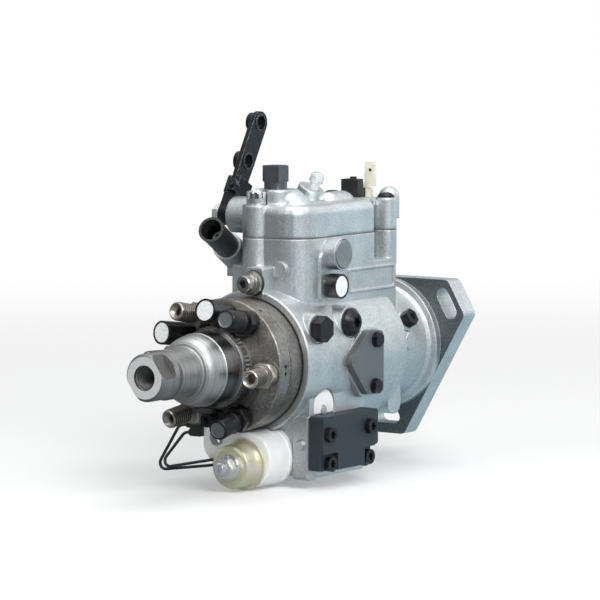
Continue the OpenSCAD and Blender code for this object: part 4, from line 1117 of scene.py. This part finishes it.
@dataclass
class Workshop:
    """What every sub-assembly needs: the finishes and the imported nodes."""

    inks: dict[str, bpy.types.Material]
    nodes: dict[str, bpy.types.Object]

    def dress_nodes(self) -> None:
        """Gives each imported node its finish."""
        for finish, names in NODE_FINISH.items():
            for name in names:
                self.paint(self.nodes[name], finish)
        missing = set(self.nodes) - {n for names in NODE_FINISH.values() for n in names}
        LOG.info("nodes dressed, left plain: %s", sorted(missing))

    def paint(self, obj: bpy.types.Object, finish: str) -> None:
        """Puts one finish on a whole object."""
        obj.data.materials.clear()
        obj.data.materials.append(self.inks[finish])

    def mark(
        self,
        obj: bpy.types.Object,
        finish: str,
        frames: Sequence[Matrix],
        test: Callable[[float, float], bool],
    ) -> None:
        """Gives some faces of a painted piece a second finish.

        Args:
            obj: The piece, in place.
            finish: The second finish.
            frames: The frames that the face centres are seen from.
            test: Tells from a centre's radius and height in a frame, in
                millimetres, whether its face is one of them.
        """
        obj.data.materials.append(self.inks[finish])
        turns = [frame.inverted() for frame in frames]
        faces = obj.data.polygons
        for face in faces:
            for turn in turns:
                spot = (turn @ face.center) / MM
                if test(spot.xy.length, spot.z):
                    face.material_index = 1
        LOG.info("%s in %s: %d", obj.name, finish, sum(f.material_index == 1 for f in faces))

    def fit(
        self, obj: bpy.types.Object, body: str, slot: str, replaced: Sequence[str] = ()
    ) -> bpy.types.Object:
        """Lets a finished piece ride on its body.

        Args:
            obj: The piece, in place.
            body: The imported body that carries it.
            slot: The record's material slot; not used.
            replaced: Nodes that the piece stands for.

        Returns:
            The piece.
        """
        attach(obj, body)
        if replaced:
            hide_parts(*replaced)
        LOG.info("piece %s on %s: %d faces", obj.name, body, len(obj.data.polygons)
                 if obj.type == "MESH" else 0)
        return obj


@dataclass
class Delivery:
    """Flared delivery fittings with their threads, hexagons and caps."""

    shop: Workshop
    first: float = -5.0
    count: int = 6
    flare: float = 12.0
    tip_r: float = 39.5
    tip_y: float = -224.0
    head_y: float = -200.0
    thread_r: float = 6.0
    flats: float = 15.0
    pitch: float = 1.83
    plain: tuple[int, ...] = (0, 2, 3, 4)
    dark: tuple[int, ...] = (1, 5)

    @property
    def span(self) -> float:
        """Length of a fitting from its tip to its seat in the head."""
        return (-self.tip_y + self.head_y + 3) / math.cos(math.radians(self.flare))

    def frame(self, number: int) -> Matrix:
        """Frame of a fitting: origin at its tip, Z back into the head.

        Args:
            number: Which fitting, counted round the head.

        Returns:
            The frame.
        """
        angle = math.radians(self.first + 360 / self.count * number)
        return (
            Matrix.Rotation(-angle, 4, "Y")
            @ Matrix.Translation(Vector((self.tip_r, self.tip_y, 0)) * MM)
            @ Matrix.Rotation(math.radians(self.flare), 4, "Z")
            @ Matrix.Rotation(math.radians(-90), 4, "X")
        )

    def body(self, name: str) -> bpy.types.Object:
        """One fitting with thread, cone seat, neck and hexagon.

        Args:
            name: The object's name.

        Returns:
            The fitting at the origin.
        """
        r = self.thread_r
        shaft = turned(
            name,
            [(2.2, 9), (2.2, 3.6), (4.3, 0.25), (4.7, 0.0), (r - 0.9, 0.0), (r - 0.25, 0.8)]
            + thread(r, r - 1.0, 1.2, 15.9, self.pitch)
            + [(r - 0.9, 16.2), (r - 0.9, self.span - 9.6), (r + 0.6, self.span - 9.2),
               (r + 0.6, self.span - 0.4)],
            40,
        )
        nut = hexagon(name + "_hex", self.flats, self.span - 9.2, self.span - 3.6, 0.9)
        collar = turned(
            name + "_collar",
            [(6.0, self.span - 3.6), (7.0, self.span - 3.4), (7.15, self.span - 3.0),
             (7.15, self.span - 2.2), (6.9, self.span - 1.9), (7.3, self.span - 1.2),
             (7.3, self.span - 0.3)],
        )
        for part, width in ((shaft, 0.06), (nut, 0.25), (collar, 0.12)):
            soften(part, width, 1)
        return join(name, (shaft, nut, collar))

    def cap(self) -> bpy.types.Object:
        """Push-on cap with a rolled rim and a slightly dished face.

        Returns:
            The cap at the origin.
        """
        wall = self.thread_r + 0.48
        shell = turned(
            "delivery_cap",
            [(3.0, -1.85), (4.6, -1.85), (4.9, -2.2), (5.5, -2.2), (6.1, -1.8), (wall, -1.1),
             (wall, 12.7), (wall + 0.5, 13.0), (wall + 0.75, 13.6), (wall + 0.5, 14.3),
             (6.3, 14.6), (6.1, 14.0)],
        )
        return soften(shell, 0.15, 2)

    def build(self) -> None:
        """Models the two kinds of fitting and the caps."""
        plain = [self.frame(n) for n in self.plain]
        fittings = join("delivery_fittings", copies(self.body("delivery_plain"), plain))
        self.shop.paint(fittings, "plated_fitting")
        # Painted shade in the thread roots.
        self.shop.mark(
            fittings, "thread_root_shade", plain, lambda r, z: 4.0 < r < 5.62 and 1.0 < z < 16.4
        )
        self.shop.fit(fittings, "pump_body", "zinc_plated", ("fittings_plain",))
        dark = [self.frame(n) for n in self.dark]
        capped = join("capped_fittings", copies(self.body("delivery_dark"), dark))
        self.shop.paint(capped, "black_fitting")
        self.shop.fit(capped, "pump_body", "black_zinc", ("fittings_dark",))
        caps = join("delivery_caps", copies(self.cap(), dark))
        self.shop.paint(caps, "black_fitting")
        self.shop.mark(caps, "cap_face", dark, lambda r, z: r < 4.9 and z < -1.6)
        self.shop.fit(caps, "pump_body", "black_plastic", ("fitting_caps",))


@dataclass
class InletThread:
    """Internal thread in the mouth of the inlet nose."""

    shop: Workshop
    rear_y: float = -257.4
    length: float = 18.0
    bore_r: float = 6.97
    crest_r: float = 6.1
    pitch: float = 1.5

    def build(self) -> None:
        """Bores a thin tube out with a threaded cutter."""
        tube = turned("inlet_thread", [(self.bore_r, 0.0), (self.bore_r, self.length)], 56)
        ridges = thread(self.bore_r - 0.12, self.crest_r, -0.9, self.length + 0.9, self.pitch)
        carve(tube, turned("inlet_cutter", ridges, 56))
        bpy.ops.object.shade_smooth_by_angle(angle=SMOOTH_ANGLE)
        seat = along_y(0.0, self.rear_y, 0.0)
        placed(tube, seat)
        self.shop.paint(tube, "clip_steel")
        middle = (self.bore_r + self.crest_r) / 2
        # Painted shade in the thread roots.
        self.shop.mark(tube, "thread_root_shade", (seat,), lambda r, z: r > middle)
        self.shop.fit(tube, "pump_body", "head_steel")


@dataclass
class CoverScrews:
    """Polished drum screw on the front column and two dark screws at the rear."""

    shop: Workshop
    seat_z: float = 98.0
    front: tuple[float, float] = (-7.4, -150.4)
    rear: tuple[tuple[float, float], ...] = ((22.0, -47.4), (-20.0, -47.4))
    drum_r: float = 6.6
    drum_h: float = 8.8
    dome_r: float = 5.6

    def _socket(self, screw: bpy.types.Object, flats: float, low: float) -> bpy.types.Object:
        """Sinks a hexagon socket into the top of a screw.

        Args:
            screw: The screw at the origin.
            flats: Width of the socket over its flats.
            low: Height of the socket's floor.

        Returns:
            The screw.
        """
        deselect()
        bpy.ops.mesh.primitive_cylinder_add(
            vertices=6, radius=flats / 2 / math.cos(HEX_HALF) * MM, depth=8 * MM,
            location=(0, 0, (low + 4) * MM),
        )
        return carve(screw, bpy.context.object)

    def build(self) -> None:
        """Models both kinds of screw."""
        r, h = self.drum_r, self.drum_h
        drum = turned(
            "cover_drum",
            [(r - 0.5, 0.0), (r - 0.5, 0.5), (r, 0.6), (r, h - 0.9), (r - 0.25, h - 0.4),
             (r - 0.8, h - 0.05), (r - 1.2, h), (r - 1.5, h - 0.3), (4.0, h - 0.3)],
            64,
        )
        soften(self._socket(drum, 5.0, h - 2.6), 0.1)
        placed(drum, Matrix.Translation(Vector((*self.front, self.seat_z)) * MM))
        self.shop.paint(drum, "chrome")
        self.shop.fit(drum, "pump_body", "zinc_bright", ("cover_screws",))
        dome = turned(
            "cover_dome",
            [(self.dome_r, 0.0), (self.dome_r, 0.9), (5.2, 1.5), (4.5, 2.2), (3.6, 2.75),
             (3.0, 2.95)],
            40,
        )
        soften(self._socket(dome, 3.6, 1.4), 0.1)
        frames = [Matrix.Translation(Vector((*at, self.seat_z)) * MM) for at in self.rear]
        domes = join("cover_rear_screws", copies(dome, frames))
        self.shop.paint(domes, "black_zinc")
        self.shop.fit(domes, "pump_body", "black_zinc", ("cover_screws",))


@dataclass
class TopTrim:
    """Clear vent cap, a black disc of painted shade in the blade terminal's hollow, and the
    terminal's thin lead.
    """

    shop: Workshop
    vent_at: Point = (-0.95, -99.0, 106.24)
    vent_lean: float = 24.0
    blade_at: Point = (10.9, -49.0, 115.4)
    lead_r: float = 0.45
    lead_route: tuple[Point, ...] = (
        (10.0, -50.6, 104.6), (13.0, -50.8, 104.8), (15.0, -50.9, 103.0), (16.2, -50.9, 100.6),
        (18.6, -50.4, 98.6),
    )

    def vent(self) -> None:
        """Models the cap: a stem, a skirt and a pointed crown, all of sixteen sides."""
        cap = turned(
            "vent_cap_clear",
            [(3.3, -1.0), (3.3, 4.4), (4.5, 4.8), (4.6, 5.2), (4.6, 8.6), (4.1, 9.4), (3.0, 10.6),
             (1.4, 11.2)],
            16,
        )
        soften(cap, 0.3, 2)
        lean = Matrix.Rotation(math.radians(self.vent_lean), 4, "Y")
        at = Matrix.Translation(Vector(self.vent_at) * MM)
        placed(cap, at @ lean @ Matrix.Translation(Vector((1.4, 0, 0)) * MM))
        self.shop.paint(cap, "clear_cap")
        self.shop.fit(cap, "pump_body", "vent_nylon", ("vent_cap",))

    def terminal(self) -> None:
        """Models a black disc as painted shade in the blade's hollow, and the thin pale lead
        beside it.
        """
        # Painted shade: a black disc where the hollow of the blade is in shade.
        dimple_shade = turned("blade_dimple_shade", [(1.05, -0.35), (1.05, 0.35)], 24)
        soften(dimple_shade, 0.05, 1)
        placed(dimple_shade, along_y(*self.blade_at))
        self.shop.paint(dimple_shade, "black_plastic")
        self.shop.fit(dimple_shade, "pump_body", "cream_nylon")
        lead = strand("pale_lead", self.lead_route, self.lead_r, section=2, smooth=True)
        only(lead)
        bpy.ops.object.convert(target="MESH")
        self.shop.paint(lead, "tag_white")
        self.shop.fit(lead, "pump_body", "white_nylon")

    def build(self) -> None:
        """Models the pieces."""
        self.vent()
        self.terminal()


@dataclass
class ActuatorStud:
    """Slotted stud with its flange nut on the plated cup."""

    shop: Workshop
    at: tuple[float, float] = (7.6, -62.6)
    seat_y: float = -201.0

    def build(self) -> None:
        """Models the nut with its flange and the threaded stud with its slot."""
        nut = hexagon("stud_nut", 12.6, 2.3, 8.0, 1.0)
        flange = turned(
            "stud_flange",
            [(7.6, 0.0), (8.15, 0.3), (8.15, 1.1), (7.8, 1.5), (6.2, 2.4), (6.0, 3.2)],
        )
        ridges = thread(3.8, 3.25, 7.4, 11.0, 0.7)
        stud = turned(
            "stud_core", [(3.6, 0.0), (3.6, 7.4)] + ridges + [(3.3, 11.1), (2.9, 11.4)], 32
        )
        carve(stud, block("stud_slot", (-0.6, -6.0, 9.6), (0.6, 6.0, 12.2)))
        for part, width in ((nut, 0.3), (flange, 0.15), (stud, 0.08)):
            soften(part, width)
        whole = join("actuator_stud", (nut, flange, stud))
        placed(whole, along_y(self.at[0], self.seat_y, self.at[1]))
        self.shop.paint(whole, "stud_zinc")
        self.shop.fit(whole, "pump_body", "zinc_bright", ("actuator_nut",))


def bent(corners: Sequence[Point], radius: float, steps: int = 8) -> list[Vector]:
    """Rounds each inner corner of a route by an arc.

    Args:
        corners: The route's corners in millimetres.
        radius: Radius of the arcs.
        steps: Chords of each arc.

    Returns:
        The points of the rounded route.
    """
    spots = [Vector(c) for c in corners]
    points = [spots[0]]
    for before, corner, after in zip(spots, spots[1:], spots[2:]):
        back, ahead = (before - corner).normalized(), (after - corner).normalized()
        half = math.acos(back.dot(ahead)) / 2
        centre = corner + (back + ahead).normalized() * (radius / math.sin(half))
        first = (corner + back * (radius / math.tan(half)) - centre).normalized()
        last = (corner + ahead * (radius / math.tan(half)) - centre).normalized()
        across = (last - first * last.dot(first)).normalized()
        sweep = math.pi - 2 * half
        for step in range(steps + 1):
            angle = sweep * step / steps
            points.append(centre + radius * (math.cos(angle) * first + math.sin(angle) * across))
    return points + [spots[-1]]


@dataclass
class LeadWires:
    """Two short round leads from their plug round to the actuator."""

    shop: Workshop
    radius: float = 0.97
    bend: float = 4.2
    plug_low: Point = (-39.0, -180.0, -48.6)
    plug_high: Point = (-30.5, -169.6, -40.2)
    boots: tuple[tuple[Point, float, float], ...] = (
        ((-38.9, -176.4, -41.8), 20.0, 4.0), ((-38.9, -176.8, -46.4), 30.0, 2.4),
    )
    routes: tuple[tuple[Point, ...], ...] = (
        ((-42.7, -177.8, -41.8), (-47.2, -179.4, -42.2), (-61.2, -186.4, -71.2),
         (-21.4, -181.4, -65.8), (-21.4, -173.4, -65.8)),
        ((-41.0, -178.05, -46.4), (-43.4, -179.5, -47.0), (-57.2, -189.8, -69.6),
         (-20.6, -182.4, -62.2), (-20.6, -173.4, -62.2)),
    )

    def build(self) -> None:
        for number, corners in enumerate(self.routes):
            route = bent(corners, self.bend)
            wire = strand(f"lead_wire_{number}", route, self.radius, section=4)
            self.shop.paint(wire, "wire_black")
            self.shop.fit(wire, "pump_body", "black_plastic", ("lead_wires",))
            length = sum((b - a).length for a, b in zip(route, route[1:])) * MM
            list(route[0] * MM)
            2 * self.radius * MM

    def plug(self) -> None:
        """Models the plug with a ribbed boot at each lead."""
        parts = [soften(block("lead_plug", self.plug_low, self.plug_high), 0.6, 3)]
        for place, turn, length in self.boots:
            ribs = [(2.1, 0.0)]
            for rib in range(int(length)):
                ribs += [(2.0, rib + 0.25), (1.72, rib + 0.35), (1.72, rib + 0.6),
                         (1.95 - 0.05 * rib, rib + 0.7), (1.95 - 0.05 * rib, rib + 0.98)]
            boot = turned("lead_boot", ribs + [(1.68, length)], 28)
            soften(boot, 0.05, 1)
            aim = Matrix.Rotation(math.radians(turn), 4, "Z") @ Matrix.Rotation(
                math.radians(-90), 4, "Y")
            parts.append(placed(boot, Matrix.Translation(Vector(place) * MM) @ aim))
        whole = join("lead_plug", parts)
        self.shop.paint(whole, "black_plastic")
        self.shop.fit(whole, "pump_body", "black_plastic", ("lead_wires",))


@dataclass
class Studio:
    """Camera, pale floor, a ring of reflected panels and soft lamps."""

    eye: Point = (1.4399, -2.1773, 0.2728)
    pitch: float = 84.6
    heading: float = 34.9
    lens: float = 237.0
    middle_y: float = -0.1
    floor_r: float = 40.0
    pool_y: float = -110.0
    pool_r: tuple[float, float] = (420.0, 1500.0)
    wall_r: float = 3.4
    wall_h: float = 3.2
    wall_lift: float = 0.02
    ground_lift: float = 0.0004
    panels: tuple[tuple[float, float], ...] = (
        (0.00, 0.30), (0.05, 0.55), (0.11, 0.55), (0.135, 0.10), (0.205, 0.08), (0.23, 0.30),
        (0.275, 0.30), (0.30, 0.10), (0.40, 0.12), (0.43, 0.90), (0.49, 0.90), (0.52, 0.20),
        (0.55, 0.50), (0.59, 1.32), (0.73, 1.32), (0.79, 0.25),
    )
    ground: tuple[tuple[float, Colour], ...] = (
        (0.00, (0.34, 0.36, 0.37)), (0.14, (0.26, 0.27, 0.275)), (0.24, (0.34, 0.35, 0.355)),
        (0.38, (0.80, 0.84, 0.86)), (0.50, (0.97, 1.08, 1.12)), (0.58, (0.80, 1.00, 1.08)),
        (0.74, (0.74, 0.93, 1.02)), (0.82, (0.36, 0.42, 0.46)),
    )
    near_glow: float = 0.25
    sky_fill: float = 0.32

    def camera(self) -> None:
        """Sets the camera at the photograph's view."""
        data = bpy.data.cameras.new("view")
        data.lens = self.lens
        data.sensor_width = 36.0
        data.clip_end = 100.0
        view = bpy.data.objects.new("view", data)
        view.location = self.eye
        view.rotation_euler = (math.radians(self.pitch), 0.0, math.radians(self.heading))
        bpy.context.scene.collection.objects.link(view)
        bpy.context.scene.camera = view

    @staticmethod
    def seen(graph: Graph) -> Sock:
        """Tells the rays that show a surface from those that only light it.

        Args:
            graph: The graph that the mask is for.

        Returns:
            1 for camera, mirror and see-through rays, else 0.
        """
        path = graph.node("ShaderNodeLightPath", {}, {})
        rays = [Sock(graph, path.outputs[k]) for k in
                ("Is Camera Ray", "Is Glossy Ray", "Is Transmission Ray")]
        return (rays[0] + rays[1] + rays[2]) > 0.5

    def _disc(self, name: str, radius: float, sides: int, level: float) -> bpy.types.Object:
        """Lays a flat disc under the pump.

        Args:
            name: The object's name.
            radius: Its radius in metres.
            sides: Number of its sides.
            level: Its height in metres.

        Returns:
            The disc, with its mesh in world space.
        """
        deselect()
        bpy.ops.mesh.primitive_circle_add(
            vertices=sides, radius=radius, fill_type="NGON", location=(0, self.middle_y, level)
        )
        return settled(name)

    def floor(self, level: float) -> None:
        """Lays the floor just under the pump.

        Args:
            level: Height of the floor in metres.
        """
        ground = self._disc("floor", self.floor_r, 64, level)
        g = Graph("floor_white")
        x, y, _ = g.axes()
        away = (x * x + (y - self.pool_y) ** 2).root().ramp(*self.pool_r)
        glow = g.node("ShaderNodeEmission", {}, {"Color": (1, 1, 1), "Strength": 1.0})
        blend = g.node(
            "ShaderNodeMixShader", {},
            {0: self.seen(g) * (self.near_glow + away * (1 - self.near_glow)),
             1: g.shader.outputs[0], 2: glow.outputs[0]},
        )
        g.surface(blend)
        ground.data.materials.append(g.dress(Base_Color=(0.92, 0.92, 0.92), Roughness=0.9,
                                             Specular_IOR_Level=0.0))
        ground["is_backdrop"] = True

    def reflected(self, obj: bpy.types.Object, name: str, stops: Sequence[tuple]) -> None:
        """Turns a stage piece into a glow that only the metal's reflections see.

        Args:
            obj: The piece, with its mesh in world space.
            name: The glow's name.
            stops: Colours by bearing, from 0 to 1 anticlockwise from the left.
        """
        g = Graph(name)
        x, y, z = g.axes()
        turn = (y - self.middle_y / MM).bearing(x) / (2 * math.pi) + 0.5
        tone = g.node("ShaderNodeValToRGB", {"stops": stops}, {"Fac": turn})
        dim = g.mix(z.ramp(-90.0, 500.0), (0.62, 0.66, 0.68), (1.0, 1.0, 1.0))
        lit = g.node("ShaderNodeMix", {"data_type": "RGBA", "blend_type": "MULTIPLY"}, {0: 1.0})
        g.put(lit.inputs[6], tone.outputs[0])
        g.put(lit.inputs[7], dim)
        glow = g.node("ShaderNodeEmission", {}, {"Color": lit.outputs[2], "Strength": 1.0})
        g.surface(glow)
        obj.data.materials.append(g.material)
        obj.visible_camera = False
        obj.visible_diffuse = False
        obj.visible_shadow = False
        obj.visible_transmission = False
        obj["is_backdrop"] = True

    def wall(self, level: float) -> None:
        """Stands a ring of soft panels round the floor and lays a ground inside it.

        Args:
            level: Height of the floor in metres.
        """
        deselect()
        bpy.ops.mesh.primitive_cylinder_add(
            vertices=96, radius=self.wall_r, depth=self.wall_h, end_fill_type="NOTHING",
            location=(0, self.middle_y, level + self.wall_h / 2 + self.wall_lift),
        )
        self.reflected(settled("studio_wall"), "wall_panels", tuple(
            (place, (0.93 * tone, 0.975 * tone, tone)) for place, tone in self.panels))
        disc = self._disc("studio_ground", self.wall_r, 96, level + self.ground_lift)
        self.reflected(disc, "ground_tones", self.ground)

    def lamps(self) -> None:
        """Hangs the soft lamps, all aimed at the middle of the pump."""
        target = Vector((0.0, -0.12, 0.03))
        for name, place, size, power in (
            ("key", (1.8, -1.3, 1.5), (1.2, 1.2), 46.0),
            ("top", (0.2, 0.1, 2.4), (1.8, 1.4), 26.0),
            ("fill", (-0.4, -2.6, 1.5), (1.0, 1.0), 12.0),
        ):
            data = bpy.data.lights.new(name, "AREA")
            data.shape = "RECTANGLE"
            data.size, data.size_y = size
            data.energy = power
            lamp = bpy.data.objects.new(name, data)
            lamp.location = place
            lamp.rotation_euler = (target - Vector(place)).to_track_quat("-Z", "Y").to_euler()
            bpy.context.scene.collection.objects.link(lamp)

    def world(self) -> None:
        """Gives the sky a plain pale tone, white where it is seen."""
        sky = bpy.data.worlds.new("sky")
        sky.use_nodes = True
        tree = sky.node_tree
        tree.nodes.clear()
        path, both, more, level, back, out = (
            tree.nodes.new("ShaderNode" + kind)
            for kind in ("LightPath", "Math", "Math", "MapRange", "Background", "OutputWorld")
        )
        both.operation = more.operation = "MAXIMUM"
        level.inputs["To Min"].default_value = self.sky_fill
        level.inputs["To Max"].default_value = 1.0
        back.inputs["Color"].default_value = (0.97, 0.985, 1.0, 1.0)
        for source, target in (
            (path.outputs["Is Camera Ray"], both.inputs[0]),
            (path.outputs["Is Glossy Ray"], both.inputs[1]),
            (both.outputs[0], more.inputs[0]),
            (path.outputs["Is Transmission Ray"], more.inputs[1]),
            (more.outputs[0], level.inputs["Value"]),
            (level.outputs["Result"], back.inputs["Strength"]),
            (back.outputs[0], out.inputs["Surface"]),
        ):
            tree.links.new(source, target)
        bpy.context.scene.world = sky

    def build(self, level: float) -> None:
        """Sets up everything round the pump but the camera.

        Args:
            level: Height of the floor in metres.
        """
        self.floor(level)
        self.wall(level)
        self.lamps()
        self.world()
        bpy.context.scene.view_settings.view_transform = "Standard"


def main() -> None:
    """Loads the frame and dresses it, piece by piece."""
    logging.basicConfig(level=logging.INFO, format="%(message)s")
    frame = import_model()
    cad_box = [list(corner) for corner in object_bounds()]
    studio = Studio()
    studio.camera()
    shop = Workshop(palette(), frame["nodes"])
    leads = LeadWires(shop)
    leads.build()
    shop.dress_nodes()
    leads.plug()
    Delivery(shop).build()
    InletThread(shop).build()
    CoverScrews(shop).build()
    TopTrim(shop).build()
    ActuatorStud(shop).build()
    studio.build(cad_box[0][2])
    deselect()


if __name__ == "__main__":
    main()
